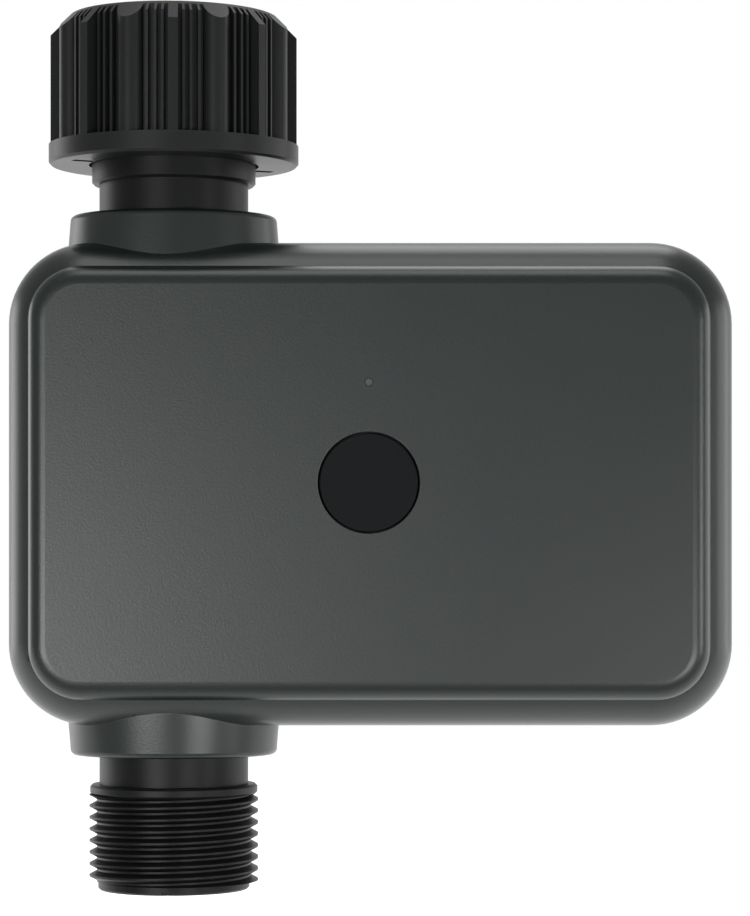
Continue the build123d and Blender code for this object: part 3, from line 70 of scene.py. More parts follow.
camera_data = bpy.data.cameras.new("front_camera")
camera_data.sensor_width = SENSOR
camera_data.lens = SENSOR * -EYE.y / MM / (PICTURE_H * MM_PER_PIXEL)
camera_data.shift_x = (PICTURE_W / 2 - EYE_PIXEL[0]) / PICTURE_H
camera_data.shift_y = (EYE_PIXEL[1] - PICTURE_H / 2) / PICTURE_H
camera_data.clip_start = 0.01
camera = bpy.data.objects.new("front_camera", camera_data)
camera.location = EYE
camera.rotation_euler = (radians(90), 0, 0)
bpy.context.scene.collection.objects.link(camera)
bpy.context.scene.camera = camera
shift = round(camera_data.shift_x, 4), round(camera_data.shift_y, 4)
print("lens", round(camera_data.lens, 1), "mm, shift", shift)

# %% [markdown]
# ## The studio
#
# The product was photographed in front of a brightly lit white wall: its rims catch white from
# behind, while the side that the lens looks from is dim, and that is why the flat face stays
# dark. Lamps alone would leave the rims black. So the world itself is the room. Its brightness
# depends on the direction: white behind the valve, dim on the lens side. Gloss sees the wall at
# its full strength and matte surfaces get part of it. The camera, and light through clear
# plastic, see white.

# %% Make the world
def node_tree_of(owner):
    owner.use_nodes = True
    owner.node_tree.nodes.clear()
    return owner.node_tree


def add(tree, kind, place, **settings):
    node = tree.nodes.new(kind)
    node.location = place
    for name, value in settings.items():
        setattr(node, name, value)
    return node


def put(tree, socket, value):
    """Link another node's socket to this one, or write a plain value on it."""
    if isinstance(value, bpy.types.NodeSocket):
        tree.links.new(value, socket)
    else:
        socket.default_value = value


def math_node(tree, operation, place, *values, clamp=False):
    node = add(tree, "ShaderNodeMath", place, operation=operation, use_clamp=clamp)
    for socket, value in zip(node.inputs, values):
        put(tree, socket, value)
    return node.outputs[0]


def ramp(tree, place, value, source, target, smooth=False):
    """Turn the range source of a value into the range target."""
    node = add(tree, "ShaderNodeMapRange", place)
    if smooth:
        node.interpolation_type = "SMOOTHSTEP"
    tree.links.new(value, node.inputs["Value"])
    ends = zip(("From Min", "From Max", "To Min", "To Max"), (*source, *target))
    for name, number in ends:
        node.inputs[name].default_value = number
    return node.outputs["Result"]


def separate_axes(tree, place, output):
    """The three outputs X, Y and Z of a kind of texture coordinates."""
    left, height = place
    coordinates = add(tree, "ShaderNodeTexCoord", (left - 200, height))
    axes = add(tree, "ShaderNodeSeparateXYZ", place)
    tree.links.new(coordinates.outputs[output], axes.inputs[0])
    return axes.outputs


def seen_directly(tree, rays, place):
    """1 for rays from the camera and rays through something clear, 0 for others."""
    return math_node(tree, "MAXIMUM", place, rays["Is Camera Ray"], rays["Is Transmission Ray"])


WHITE = (1, 1, 1, 1)
ROOM = 0.40
WALL = 1.0
WALL_FOR_MATTE = 0.6
WALL_EDGE = (0.60, 0.92)

world = bpy.data.worlds.new("white_wall")
bpy.context.scene.world = world
tree = node_tree_of(world)
towards = separate_axes(tree, (-900, 0), "Generated")
wall = ramp(tree, (-700, 0), towards["Y"], WALL_EDGE, (ROOM, WALL), smooth=True)
rays = add(tree, "ShaderNodeLightPath", (-900, 350)).outputs
share = ramp(tree, (-700, 350), rays["Is Glossy Ray"], (0, 1), (WALL_FOR_MATTE, 1))
lit = math_node(tree, "MULTIPLY", (-450, 100), wall, share)
clear = seen_directly(tree, rays, (-450, 350))
strength = math_node(tree, "MAXIMUM", (-250, 200), lit, clear)
room = add(tree, "ShaderNodeBackground", (0, 0))
room.inputs["Color"].default_value = WHITE
tree.links.new(strength, room.inputs["Strength"])
out = add(tree, "ShaderNodeOutputWorld", (200, 0))
tree.links.new(room.outputs[0], out.inputs[0])
print("the room's brightness goes from", ROOM, "to", WALL)

# %% [markdown]
# The face is lightest at the lower left and darkest at the upper right, and each collar shows two
# upright highlights. Where on a round collar a highlight lies tells where its lamp stands: both
# are 23 or 24 degrees from the lens, one to the left and a smaller one to the right. The lower
# collar shows them best, so they are low, two strips just above the floor. The right edge of the
# panel asks for a third at 60 degrees. Weak ones stand beside and behind for the side walls, and
# two hang above the top wall.

# %% Hang the lamps
MIDDLE = Vector((0.031, 0.0, -0.073))
LAMPS = (
    # name, degrees left of the lens, degrees up, distance, width and height, watts
    ("left_key", 23, -4.8, 1.12, (0.56, 0.063), 4.0),
    ("right_key", -24, -10.7, 0.61, (0.24, 0.022), 0.75),
    ("right_side", -60, -3, 1.1, (0.30, 0.24), 2.0),
    ("left_rim", 122, 5, 1.0, (0.50, 0.40), 1.5),
    ("right_rim", -120, 5, 1.0, (0.30, 0.40), 0.8),
    ("right_wall", -98, 5, 1.0, (0.30, 0.40), 0.7),
    ("top", 0, 75, 0.8, (0.50, 0.40), 1.4),
    ("top_rear", 180, 62, 0.9, (0.60, 0.50), 2.4),
)


def softbox(name, left_deg, up_deg, distance, size, watts):
    left, up = radians(left_deg), radians(up_deg)
    data = bpy.data.lights.new(name, "AREA")
    data.shape = "RECTANGLE"
    data.size, data.size_y = size
    data.energy = watts
    lamp = bpy.data.objects.new(name, data)
    place = MIDDLE + distance * Vector((-sin(left) * cos(up), -cos(left) * cos(up), sin(up)))
    lamp.location = place
    lamp.rotation_euler = (MIDDLE - place).to_track_quat("-Z", "Y").to_euler()
    bpy.context.scene.collection.objects.link(lamp)


for lamp in LAMPS:
    softbox(*lamp)
print(len(LAMPS), "lamps hang round", [round(v / MM) for v in MIDDLE], "mm")

# %% [markdown]
# The valve hangs from a tap, so the floor is a hand's breadth below it. Paper that is lit only as
# brightly as the valve would look grey. So the paper also glows, but only for the camera, for
# gloss and for light through clear plastic. The glow is added to the matte paper and doesn't
# replace it, and that keeps the valve's soft shadow. In gloss the paper is brighter behind the
# valve, where the wall lights it.

# %% Lay the floor
FLOOR_DROP = 0.06
FLOOR_HALF = 1.6
PAPER_WHITE = (0.82, 0.82, 0.82, 1)
PAPER_SEEN = 0.9
PAPER_GLOW = (0.04, 1.00)
PAPER_GLOW_FROM = (-0.11, 0.00)

floor_mesh = bpy.data.meshes.new("floor")
low = cad_box[0].z - FLOOR_DROP
square = ((-1, -1), (1, -1), (1, 1), (-1, 1))
corners = [(x * FLOOR_HALF, y * FLOOR_HALF, low) for x, y in square]
floor_mesh.from_pydata(corners, [], [(0, 1, 2, 3)])
floor = bpy.data.objects.new("floor", floor_mesh)
bpy.context.scene.collection.objects.link(floor)

paper = bpy.data.materials.new("white_paper")
tree = node_tree_of(paper)
matte = add(tree, "ShaderNodeBsdfDiffuse", (-200, 0))
matte.inputs["Color"].default_value = PAPER_WHITE
glow = add(tree, "ShaderNodeEmission", (-200, -200))
glow.inputs["Color"].default_value = WHITE
rays = add(tree, "ShaderNodeLightPath", (-900, -200)).outputs
clear = seen_directly(tree, rays, (-650, -200))
seen = math_node(tree, "MULTIPLY", (-420, -150), clear, PAPER_SEEN)
along = separate_axes(tree, (-900, -450), "Object")
near_wall = ramp(tree, (-650, -450), along["Y"], PAPER_GLOW_FROM, PAPER_GLOW, smooth=True)
gloss = math_node(tree, "MULTIPLY", (-420, -330), rays["Is Glossy Ray"], near_wall)
strength = math_node(tree, "MAXIMUM", (-300, -250), seen, gloss)
tree.links.new(strength, glow.inputs["Strength"])
both = add(tree, "ShaderNodeAddShader", (0, 0))
tree.links.new(matte.outputs[0], both.inputs[0])
tree.links.new(glow.outputs[0], both.inputs[1])
out = add(tree, "ShaderNodeOutputMaterial", (200, 0))
tree.links.new(both.outputs[0], out.inputs[0])
floor_mesh.materials.append(paper)
print("floor at", round(low * 1000, 1), "mm")

# %% [markdown]
# ## Effects that several finishes share
#
# A colour is written here as the eight-bit numbers that an eye-dropper shows on a photograph, and
# turned into the linear values that Blender computes with.
#
# An effect such as grain is needed by many plastics, each at its own scale. It could be drawn
# again in every material. A node group is built once, has named inputs, and each material sets
# its own values on it. The groups below give masks, values and normals only; the shader stays in
# the material.

# %% Colours and groups
def linear(red, green, blue):
    def one(v):
        v = v / 255
        return v / 12.92 if v <= 0.04045 else ((v + 0.055) / 1.055) ** 2.4
    return (one(red), one(green), one(blue), 1.0)


def new_group(name, inputs, outputs):
    """A group with inputs (name, kind, default) and outputs (name, kind)."""
    group = bpy.data.node_groups.new(name, "ShaderNodeTree")
    new_socket = group.interface.new_socket
    for title, kind, default in inputs:
        socket = new_socket(name=title, in_out="INPUT", socket_type="NodeSocket" + kind)
        socket.default_value = default
    for title, kind in outputs:
        new_socket(name=title, in_out="OUTPUT", socket_type="NodeSocket" + kind)
    start = add(group, "NodeGroupInput", (-1000, 0))
    end = add(group, "NodeGroupOutput", (900, 0))
    return group, start, end


def noise(tree, place, where, scale, detail, roughness=0.5):
    node = add(tree, "ShaderNodeTexNoise", place)
    put(tree, node.inputs["Vector"], where)
    put(tree, node.inputs["Scale"], scale)
    node.inputs["Detail"].default_value = detail
    node.inputs["Roughness"].default_value = roughness
    return node.outputs[0]


def bump(tree, place, depth, height):
    node = add(tree, "ShaderNodeBump", place)
    node.inputs["Strength"].default_value = 1.0
    put(tree, node.inputs["Distance"], depth)
    tree.links.new(height, node.inputs["Height"])
    return node.outputs[0]


def on_object(tree, place):
    """Coordinates that ride on the object, in metres."""
    return add(tree, "ShaderNodeTexCoord", place).outputs["Object"]


# %% [markdown]
# ### Moulded grain
#
# The steel mould of the housing was etched by sparks, which leaves the plastic covered with tiny
# rounded pits, about a third of a millimetre across. They scatter the light and break it up into
# fine speckles. One noise would look like cloth, so a fine noise and cells of another size are
# added.

# %% Group: spark grain
FLECK_RANGE = (0.30, 0.70)
CLOUDS_PER_METRE = 90.0

spark_grain, start, end = new_group(
    "spark_grain",
    [("Grain Size", "Float", 0.00018), ("Depth", "Float", 0.00001), ("Unevenness", "Float", 0.3)],
    [("Normal", "Vector"), ("Fleck", "Float"), ("Cloud", "Float")])
spot = on_object(spark_grain, (-1000, 250))
per_metre = math_node(spark_grain, "DIVIDE", (-800, 0), 1.0, start.outputs["Grain Size"])
fine = noise(spark_grain, (-550, 200), spot, per_metre, 2.0, 0.6)
cells = add(spark_grain, "ShaderNodeTexVoronoi", (-550, -50), feature="SMOOTH_F1")
cells.inputs["Smoothness"].default_value = 0.6
put(spark_grain, cells.inputs["Vector"], spot)
put(spark_grain, cells.inputs["Scale"], per_metre)
height = math_node(spark_grain, "ADD", (-300, 100), fine, cells.outputs["Distance"])
normal = bump(spark_grain, (100, 200), start.outputs["Depth"], height)
fleck = ramp(spark_grain, (100, -50), fine, FLECK_RANGE, (0, 1))
cloud = noise(spark_grain, (-550, -300), spot, CLOUDS_PER_METRE, 4.0)
centred = math_node(spark_grain, "SUBTRACT", (-300, -300), cloud, 0.5)
swing = math_node(spark_grain, "MULTIPLY", (-100, -300), centred, start.outputs["Unevenness"])
put(spark_grain, end.inputs["Normal"], normal)
put(spark_grain, end.inputs["Fleck"], fleck)
put(spark_grain, end.inputs["Cloud"], math_node(spark_grain, "ADD", (100, -300), swing, 0.5))
print("made", spark_grain.name)

# %% [markdown]
# ### Rubbed edges
#
# Corners and ribs are touched most, and there the plastic turns a shade lighter and smoother. The
# Bevel node gives the normal that the corner would have if it were rounder. Where that differs
# from the real normal there is an edge, and a noise keeps the wear from being even.

# %% Group: rubbed edges
EDGE_GAIN = 9.0
PATCHES_PER_METRE = 420.0

rubbed_edges, start, end = new_group(
    "rubbed_edges",
    [("Width", "Float", 0.0004), ("Amount", "Float", 0.5)],
    [("Mask", "Float")])
rounder = add(rubbed_edges, "ShaderNodeBevel", (-700, 100), samples=3)
real = add(rubbed_edges, "ShaderNodeNewGeometry", (-700, -100))
dot = add(rubbed_edges, "ShaderNodeVectorMath", (-450, 0), operation="DOT_PRODUCT")
put(rubbed_edges, rounder.inputs["Radius"], start.outputs["Width"])
put(rubbed_edges, dot.inputs[0], rounder.outputs[0])
put(rubbed_edges, dot.inputs[1], real.outputs["Normal"])
away = math_node(rubbed_edges, "SUBTRACT", (-250, 0), 1.0, dot.outputs["Value"])
edge = math_node(rubbed_edges, "MULTIPLY", (-80, 0), away, EDGE_GAIN, clamp=True)
spot = on_object(rubbed_edges, (-700, -350))
patchy = noise(rubbed_edges, (-450, -300), spot, PATCHES_PER_METRE, 5.0)
kept = math_node(rubbed_edges, "MULTIPLY", (150, -100), edge, patchy)
worn = math_node(rubbed_edges, "MULTIPLY", (350, 0), kept, start.outputs["Amount"], clamp=True)
put(rubbed_edges, end.inputs["Mask"], worn)
print("made", rubbed_edges.name)

# %% [markdown]
# ### Settled dust
#
# A used valve has a trace of pale dust on what faces up. The mask is the upward part of the
# normal times a soft noise, so that it lies in drifts and not as a coat of paint.

# %% Group: settled dust
MOST_DUST = 0.9
DRIFTS_PER_METRE = 160.0

settled_dust, start, end = new_group(
    "settled_dust", [("Amount", "Float", 0.1)], [("Mask", "Float")])
real = add(settled_dust, "ShaderNodeNewGeometry", (-800, 100))
axes = add(settled_dust, "ShaderNodeSeparateXYZ", (-600, 100))
put(settled_dust, axes.inputs[0], real.outputs["Normal"])
up = math_node(settled_dust, "MULTIPLY", (-400, 100), axes.outputs["Z"], MOST_DUST, clamp=True)
spot = on_object(settled_dust, (-800, -200))
drifts = noise(settled_dust, (-600, -200), spot, DRIFTS_PER_METRE, 7.0, 0.7)
lying = math_node(settled_dust, "MULTIPLY", (-200, 0), up, drifts)
dusted = math_node(settled_dust, "MULTIPLY", (0, 0), lying, start.outputs["Amount"], clamp=True)
put(settled_dust, end.inputs["Mask"], dusted)
print("made", settled_dust.name)

# %% [markdown]
# ### Tool marks
#
# Turned and stamped metal has fine parallel lines left by the tool. They are a noise that is
# stretched a hundredfold along one axis.

# %% Group: tool marks
LINES_PER_METRE = 5200.0

tool_marks, start, end = new_group(
    "tool_marks",
    [("Stretch", "Vector", (1.0, 1.0, 0.02)), ("Depth", "Float", 0.000004)],
    [("Normal", "Vector"), ("Streak", "Float")])
squeezed = add(tool_marks, "ShaderNodeVectorMath", (-700, 0), operation="MULTIPLY")
put(tool_marks, squeezed.inputs[0], on_object(tool_marks, (-900, 0)))
put(tool_marks, squeezed.inputs[1], start.outputs["Stretch"])
lines = noise(tool_marks, (-450, 0), squeezed.outputs[0], LINES_PER_METRE, 4.0)
put(tool_marks, end.inputs["Normal"], bump(tool_marks, (-150, 150), start.outputs["Depth"], lines))
put(tool_marks, end.inputs["Streak"], lines)
print("made", tool_marks.name)


# %% [markdown]
# ## One way to build a finish
#
# Every finish below starts from the same few nodes: one or two colours mixed by a mask, a
# roughness that varies a little, and a normal. The helpers below lay them out. What stays the
# same all over a surface, such as the index of refraction, is set on the shader itself.

# %% Helpers: a finish
COLOUR_MIX_INPUTS, COLOUR_MIX_OUTPUT = (0, 6, 7), 2


def use(tree, group, place, **values):
    node = add(tree, "ShaderNodeGroup", place)
    node.node_tree = group
    for name, value in values.items():
        node.inputs[name.replace("_", " ")].default_value = value
    return node.outputs


def blend_colours(tree, place, mask, one, other):
    node = add(tree, "ShaderNodeMix", place, data_type="RGBA")
    factor, first, second = (node.inputs[i] for i in COLOUR_MIX_INPUTS)
    for socket, value in ((factor, mask), (first, one), (second, other)):
        put(tree, socket, value)
    return node.outputs[COLOUR_MIX_OUTPUT]


def spread(tree, place, value, low, high):
    return ramp(tree, place, value, (0, 1), (low, high))


def new_finish(name, **shader_values):
    material = bpy.data.materials.new(name)
    tree = node_tree_of(material)
    shader = add(tree, "ShaderNodeBsdfPrincipled", (300, 0))
    for title, value in shader_values.items():
        shader.inputs[title.replace("_", " ")].default_value = value
    out = add(tree, "ShaderNodeOutputMaterial", (600, 0))
    tree.links.new(shader.outputs[0], out.inputs[0])
    return material, tree, shader


def connect(tree, shader, **sources):
    for title, source in sources.items():
        tree.links.new(source, shader.inputs[title.replace("_", " ")])


def give(finish, *names):
    for name in names:
        slots = nodes[name].data.materials
        slots.clear()
        slots.append(finish)
    print(finish.name, "->", ", ".join(names))


# %% [markdown]
# ## The housing plastic
#
# Dark grey with a breath of green. In the photograph the face reads about (76, 80, 79) in the
# middle. Much of that is white light reflected by the surface, so the plastic itself is nearly
# black. Its roughness is middling: the lamps show in it as wide glows with no outline, and the
# white wall lights up the rims.

# %% Finish: housing
housing_plastic, tree, shader = new_finish("housing_plastic", IOR=1.5, Specular_IOR_Level=0.6)
grain = use(tree, spark_grain, (-700, 0), Grain_Size=0.00032, Depth=0.0000065, Unevenness=0.35)
wear = use(tree, rubbed_edges, (-700, -300), Width=0.0005, Amount=0.35)
dust = use(tree, settled_dust, (-700, -500), Amount=0.05)
speckled = blend_colours(tree, (-400, 200), grain["Fleck"], linear(8, 18, 16), linear(19, 31, 28))
worn = blend_colours(tree, (-200, 200), wear["Mask"], speckled, linear(62, 66, 65))
dusty = blend_colours(tree, (0, 200), dust["Mask"], worn, linear(103, 101, 97))
connect(tree, shader, Base_Color=dusty, Normal=grain["Normal"],
        Roughness=spread(tree, (0, -100), grain["Cloud"], 0.29, 0.36))
give(housing_plastic, "front_shell", "rear_shell", "battery_door")

# %% [markdown]
# ## The black pipe plastic
#
# The neck, the thread and the valve's body are nylon with glass fibre, black all through. Next to
# the housing they look almost without colour. The fibres leave faint streaks along the flow, and
# the surface reflects less than that of the housing.

# %% Finish: pipes and nut
def black_nylon(name, colour, light, rough, depth, wear_amount, *names):
    finish, tree, shader = new_finish(name, IOR=1.5, Specular_IOR_Level=0.2)
    grain = use(tree, spark_grain, (-700, 0), Grain_Size=0.00035, Depth=depth, Unevenness=0.5)
    streak = use(tree, tool_marks, (-700, -200), Stretch=(1.0, 1.0, 0.06), Depth=0.000002)
    wear = use(tree, rubbed_edges, (-700, -400), Width=0.00035, Amount=wear_amount)
    dust = use(tree, settled_dust, (-700, -600), Amount=0.06)
    fibres = blend_colours(tree, (-400, 200), streak["Streak"], colour, light)
    worn = blend_colours(tree, (-200, 200), wear["Mask"], fibres, linear(56, 58, 58))
    dusty = blend_colours(tree, (0, 200), dust["Mask"], worn, linear(95, 94, 90))
    connect(tree, shader, Base_Color=dusty, Normal=grain["Normal"],
            Roughness=spread(tree, (0, -100), grain["Cloud"], rough - 0.05, rough + 0.06))
    give(finish, *names)


black_nylon("pipe_nylon", linear(11, 12, 12), linear(16, 17, 17), 0.40, 0.000004, 0.3,
            "inlet_pipe", "outlet_pipe", "inlet_sleeve", "valve_body")
black_nylon("nut_nylon", linear(26, 27, 27), linear(35, 36, 36), 0.36, 0.000007, 0.55,
            "inlet_nut")
black_nylon("holder_nylon", linear(26, 27, 28), linear(33, 34, 35), 0.45, 0.000006, 0.2,
            "battery_holder")

# %% [markdown]
# ## The button
#
# A disc of satin black plastic with a much finer surface than the housing.

# %% Finish: button
button_plastic, tree, shader = new_finish("button_plastic", IOR=1.45, Specular_IOR_Level=0.12)
grain = use(tree, spark_grain, (-700, 0), Grain_Size=0.00012, Depth=0.000005, Unevenness=0.3)
wear = use(tree, rubbed_edges, (-700, -300), Width=0.0003, Amount=0.5)
speckled = blend_colours(tree, (-400, 200), grain["Fleck"], linear(14, 16, 17), linear(19, 21, 22))
worn = blend_colours(tree, (-200, 200), wear["Mask"], speckled, linear(45, 47, 47))
connect(tree, shader, Base_Color=worn, Normal=grain["Normal"],
        Roughness=spread(tree, (0, -100), grain["Cloud"], 0.48, 0.58))
give(button_plastic, "button")

# %% [markdown]
# ## Rubber
#
# Seals are dull and soft looking. A low gloss and a bloom of paler specks are enough.

# %% Finish: rubber
def rubber(name, colour, bloom, *names):
    finish, tree, shader = new_finish(name, IOR=1.52, Specular_IOR_Level=0.3, Sheen_Weight=0.06)
    grain = use(tree, spark_grain, (-700, 0), Grain_Size=0.0003, Depth=0.00001, Unevenness=0.6)
    dust = use(tree, settled_dust, (-700, -300), Amount=0.15)
    speckled = blend_colours(tree, (-400, 200), grain["Fleck"], colour, bloom)
    dusty = blend_colours(tree, (-200, 200), dust["Mask"], speckled, linear(120, 118, 114))
    connect(tree, shader, Base_Color=dusty, Normal=grain["Normal"],
            Roughness=spread(tree, (0, -100), grain["Cloud"], 0.62, 0.78))
    give(finish, *names)


rubber("seal_rubber", linear(24, 24, 25), linear(34, 34, 35),
       "shell_gasket", "neck_seals", "button_o_ring", "battery_door_gasket",
       "pipe_o_rings", "stem_o_rings")
rubber("washer_rubber", linear(40, 38, 36), linear(54, 51, 49), "inlet_washer")

# %% [markdown]
# ## Metals
#
# Screws are zinc plated steel, contacts and springs are nickel plated, the stem and the pinion
# are turned brass, and the cans on the board and round the motor are pressed from tinned sheet.

# %% Finish: metals
def metal(name, dark, bright, rough, stretch, *names):
    finish, tree, shader = new_finish(name)
    marks = use(tree, tool_marks, (-700, 0), Stretch=stretch, Depth=0.000003)
    cloud = use(tree, spark_grain, (-700, -250), Grain_Size=0.0009, Depth=0.000001, Unevenness=0.9)
    wear = use(tree, rubbed_edges, (-700, -500), Width=0.0002, Amount=0.6)
    toned = blend_colours(tree, (-400, 200), marks["Streak"], dark, bright)
    worn = blend_colours(tree, (-200, 200), wear["Mask"], toned, linear(235, 235, 236))
    shader.inputs["Metallic"].default_value = 1.0
    connect(tree, shader, Base_Color=worn, Normal=marks["Normal"],
            Roughness=spread(tree, (0, -100), cloud["Cloud"], rough - 0.06, rough + 0.1))
    give(finish, *names)


ALONG_X, ALONG_Y = (0.03, 1.0, 1.0), (1.0, 0.03, 1.0)
metal("zinc_steel", linear(150, 152, 156), linear(186, 188, 190), 0.30, ALONG_Y,
      "shell_screws", "pcb_screws", "battery_door_screws", "gearbox_screws",
      "actuator_screws", "gear_axles", "motor_shaft")
metal("nickel", linear(176, 172, 162), linear(206, 202, 192), 0.20, ALONG_X,
      "battery_contacts", "battery_springs")
metal("tinned_sheet", linear(168, 170, 172), linear(198, 200, 201), 0.34, ALONG_X,
      "radio_module", "motor")
metal("turned_brass", linear(170, 132, 66), linear(204, 166, 92), 0.26, ALONG_X,
      "valve_stem", "motor_pinion")

# %% [markdown]
# ## Pale plastics
#
# Gears and their box are acetal, the seats and the stem's washer are slippery and waxy, the ball
# is polished, and plugs are glossy nylon. All are off white. A little light travels inside such
# plastics, so they get a trace of subsurface.

# %% Finish: pale plastics
def pale_plastic(name, shade, light, rough, depth, *names):
    finish, tree, shader = new_finish(name, IOR=1.48, Subsurface_Weight=0.12,
                                      Subsurface_Scale=0.0006)
    grain = use(tree, spark_grain, (-700, 0), Grain_Size=0.0004, Depth=depth, Unevenness=0.5)
    dust = use(tree, settled_dust, (-700, -300), Amount=0.05)
    toned = blend_colours(tree, (-400, 200), grain["Cloud"], shade, light)
    dusty = blend_colours(tree, (-200, 200), dust["Mask"], toned, linear(120, 112, 100))
    connect(tree, shader, Base_Color=dusty, Normal=grain["Normal"],
            Roughness=spread(tree, (0, -100), grain["Fleck"], rough - 0.04, rough + 0.05))
    give(finish, *names)


pale_plastic("acetal", linear(214, 211, 202), linear(228, 226, 218), 0.36, 0.000004,
             "gearbox_case", "gearbox_cover", "output_gear", "idler_gear_1", "idler_gear_2")
pale_plastic("seat_plastic", linear(226, 226, 222), linear(238, 238, 235), 0.30, 0.000003,
             "upper_seat", "lower_seat", "stem_washer")
pale_plastic("ball_plastic", linear(206, 207, 205), linear(216, 217, 215), 0.14, 0.000001,
             "valve_ball")
pale_plastic("plug_nylon", linear(222, 219, 208), linear(234, 232, 224), 0.32, 0.000003,
             "connectors")
pale_plastic("led_resin", linear(226, 214, 150), linear(238, 228, 172), 0.18, 0.000001,
             "status_led")
pale_plastic("filter_plastic", linear(158, 164, 168), linear(176, 182, 186), 0.34, 0.000004,
             "inlet_filter")

# %% [markdown]
# ## The light pipe
#
# A pin of clear plastic carries the status light to the face. Unlit, it is a small pale dot in a
# dark ring. The dark ring is painted shade: the shadow of the hole that the pin's rim looks down
# into, which the flush pin of the model doesn't cast. The ring could be a second piece, but there
# is none on the real valve, so the painted shade is a mask: the distance from the pin's own axis.

# %% Finish: light pipe
# The painted shade ring lies between these two distances from the pin's axis.
SHADE_RING_INNER, SHADE_RING_OUTER = 0.40 * MM, 0.55 * MM

low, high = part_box("light_pipe")
light_guide, tree, shader = new_finish("light_guide", IOR=1.5, Transmission_Weight=0.3)
across = add(tree, "ShaderNodeVectorMath", (-1000, 200), operation="MULTIPLY")
put(tree, across.inputs[0], on_object(tree, (-1200, 200)))
across.inputs[1].default_value = (1, 0, 1)
radius = add(tree, "ShaderNodeVectorMath", (-800, 200), operation="DISTANCE")
radius.inputs[1].default_value = ((low[0] + high[0]) / 2, 0, (low[2] + high[2]) / 2)
put(tree, radius.inputs[0], across.outputs[0])
painted_shade_ring = ramp(tree, (-600, 200), radius.outputs["Value"], (SHADE_RING_INNER, SHADE_RING_OUTER), (0, 1))
grain = use(tree, spark_grain, (-700, -100), Grain_Size=0.0002, Depth=0.000003, Unevenness=0.4)
tinted = blend_colours(tree, (-400, 0), grain["Fleck"], linear(72, 74, 73), linear(88, 90, 89))
# Painted shade: the pin's rim is darkened to a near black ring, the shadow of its hole.
pin_with_painted_shade = blend_colours(tree, (-200, 100), painted_shade_ring, tinted, linear(10, 11, 11))
connect(tree, shader, Base_Color=pin_with_painted_shade, Normal=grain["Normal"],
        Roughness=spread(tree, (0, -100), grain["Cloud"], 0.3, 0.4))
give(light_guide, "light_pipe")

# %% [markdown]
# ## The circuit board
#
# Green lacquer over copper. Tracks are a shade lighter than the rest, they run at right angles,
# and rows of round pads are tinned. The pattern is made from bricks and cells in the board's own
# plane.

# %% Finish: board and chips
TRACKS = {"Scale": 260.0, "Mortar Size": 0.035, "Brick Width": 1.4, "Row Height": 0.32}
PADS = {"Scale": 340.0, "Randomness": 0.35}
PAD_RADIUS = 0.12
TRACK_HEIGHT = 0.03 * MM

board_lacquer, tree, shader = new_finish("board_lacquer", IOR=1.52, Coat_Weight=0.3,
                                         Coat_Roughness=0.12)
flat = add(tree, "ShaderNodeMapping", (-1100, 0))
flat.inputs["Rotation"].default_value = (radians(90), 0, 0)
put(tree, flat.inputs["Vector"], on_object(tree, (-1300, 0)))
tracks = add(tree, "ShaderNodeTexBrick", (-850, 100), offset=0.5)
pads = add(tree, "ShaderNodeTexVoronoi", (-850, -250))
for texture, sizes in ((tracks, TRACKS), (pads, PADS)):
    put(tree, texture.inputs["Vector"], flat.outputs[0])
    for title, value in sizes.items():
        texture.inputs[title].default_value = value
pad = math_node(tree, "LESS_THAN", (-600, -250), pads.outputs["Distance"], PAD_RADIUS)
track = tracks.outputs["Fac"]
lacquer = blend_colours(tree, (-450, 200), track, linear(18, 74, 44), linear(36, 104, 62))
tinned = blend_colours(tree, (-200, 200), pad, lacquer, linear(196, 196, 190))
connect(tree, shader, Base_Color=tinned, Metallic=pad,
        Roughness=spread(tree, (0, -100), pad, 0.30, 0.22),
        Normal=bump(tree, (0, -300), TRACK_HEIGHT, track))
give(board_lacquer, "main_pcb")
black_nylon("chip_resin", linear(28, 28, 30), linear(36, 36, 38), 0.5, 0.000004, 0.2,
            "controller_chip", "switch_body", "switch_plunger")

# %% [markdown]
# ## The cells
#
# Each cell is a steel can in a foil jacket. The jacket is plain: dark blue-grey with a pale band
# at the plus end. The four cells are one mesh, and every other one is upside down. The signs of x
# and y, seen from the middle of the four, tell which way up a cell stands. Times the height that
# gives one number that grows towards the plus end in all of them, and both masks are cut from it.

# %% Finish: cells
BAND_FROM = 14.0 * MM
PLUS_FACE, MINUS_FACE = 25.05 * MM, -23.95 * MM

low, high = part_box("aa_cells")
middle = [(a + b) / 2 for a, b in zip(low, high)]
cell_jacket, tree, shader = new_finish("cell_jacket", IOR=1.5)
axes = separate_axes(tree, (-1500, 0), "Object")
east, north, height = (math_node(tree, "SUBTRACT", (-1300, -150 * i), axes[i], middle[i])
                       for i in range(3))
quarter = math_node(tree, "MULTIPLY", (-1120, 0), east, north)
way_up = math_node(tree, "SIGN", (-950, 0), quarter)
along = math_node(tree, "MULTIPLY", (-800, -100), way_up, height)
band = math_node(tree, "GREATER_THAN", (-620, 100), along, BAND_FROM)
plus_end = math_node(tree, "GREATER_THAN", (-620, -50), along, PLUS_FACE)
minus_end = math_node(tree, "LESS_THAN", (-620, -200), along, MINUS_FACE)
steel = math_node(tree, "MAXIMUM", (-450, -120), plus_end, minus_end)
grain = use(tree, spark_grain, (-800, -400), Grain_Size=0.0006, Depth=0.000002, Unevenness=0.7)
jacket = blend_colours(tree, (-400, 300), grain["Cloud"], linear(34, 44, 60), linear(44, 56, 76))
banded = blend_colours(tree, (-200, 250), band, jacket, linear(186, 190, 194))
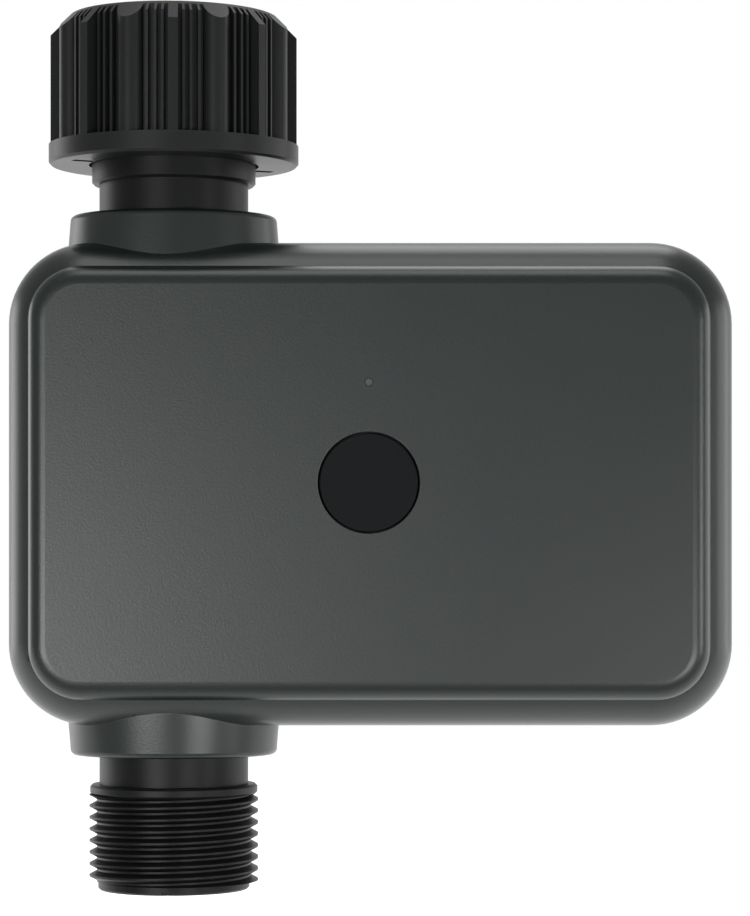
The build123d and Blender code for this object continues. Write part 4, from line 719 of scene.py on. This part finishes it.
bare = blend_colours(tree, (0, 200), steel, banded, linear(188, 186, 180))
connect(tree, shader, Base_Color=bare, Metallic=steel, Normal=grain["Normal"],
        Roughness=spread(tree, (0, -100), grain["Fleck"], 0.24, 0.36))
give(cell_jacket, "aa_cells")

# %% [markdown]
# ## The leads
#
# In each pair one lead is red and the other black. A pair is one mesh, so its faces are shared
# out between two finishes. A mask by place would fail where the leads cross, and so the faces are
# followed from corner to corner: what can be reached belongs to the same tube.

# %% Finish: leads
MICRONS_PER_METRE = 1e6


def insulation(name, shade, light):
    finish, tree, shader = new_finish(name, IOR=1.5)
    grain = use(tree, spark_grain, (-700, 0), Grain_Size=0.0004, Depth=0.000003, Unevenness=0.6)
    toned = blend_colours(tree, (-400, 200), grain["Cloud"], shade, light)
    connect(tree, shader, Base_Color=toned, Normal=grain["Normal"],
            Roughness=spread(tree, (0, -100), grain["Fleck"], 0.34, 0.44))
    return finish


def tube_of_each_face(mesh):
    """For each face the corner that stands for the whole tube it belongs to."""
    leader = {}

    def leader_of(corner):
        spot = tuple(round(v * MICRONS_PER_METRE) for v in mesh.vertices[corner].co)
        while leader.setdefault(spot, spot) != spot:
            spot = leader[spot]
        return spot

    for face in mesh.polygons:
        first = leader_of(face.vertices[0])
        for corner in face.vertices[1:]:
            leader[leader_of(corner)] = first
    return [leader_of(face.vertices[0]) for face in mesh.polygons]


red_lead = insulation("red_lead", linear(150, 24, 22), linear(168, 34, 30))
black_lead = insulation("black_lead", linear(22, 22, 24), linear(32, 32, 34))
for name in ("battery_leads", "motor_leads"):
    give(red_lead, name)
    mesh = nodes[name].data
    mesh.materials.append(black_lead)
    tubes = tube_of_each_face(mesh)
    for face, tube in zip(mesh.polygons, tubes):
        face.material_index = int(tube != min(tubes))
    print(name, "has", len(set(tubes)), "tubes")

# %% [markdown]
# ## Done
#
# The last cell sets the colour transform to Standard.

# %% Finish
bpy.context.scene.view_settings.view_transform = "Standard"
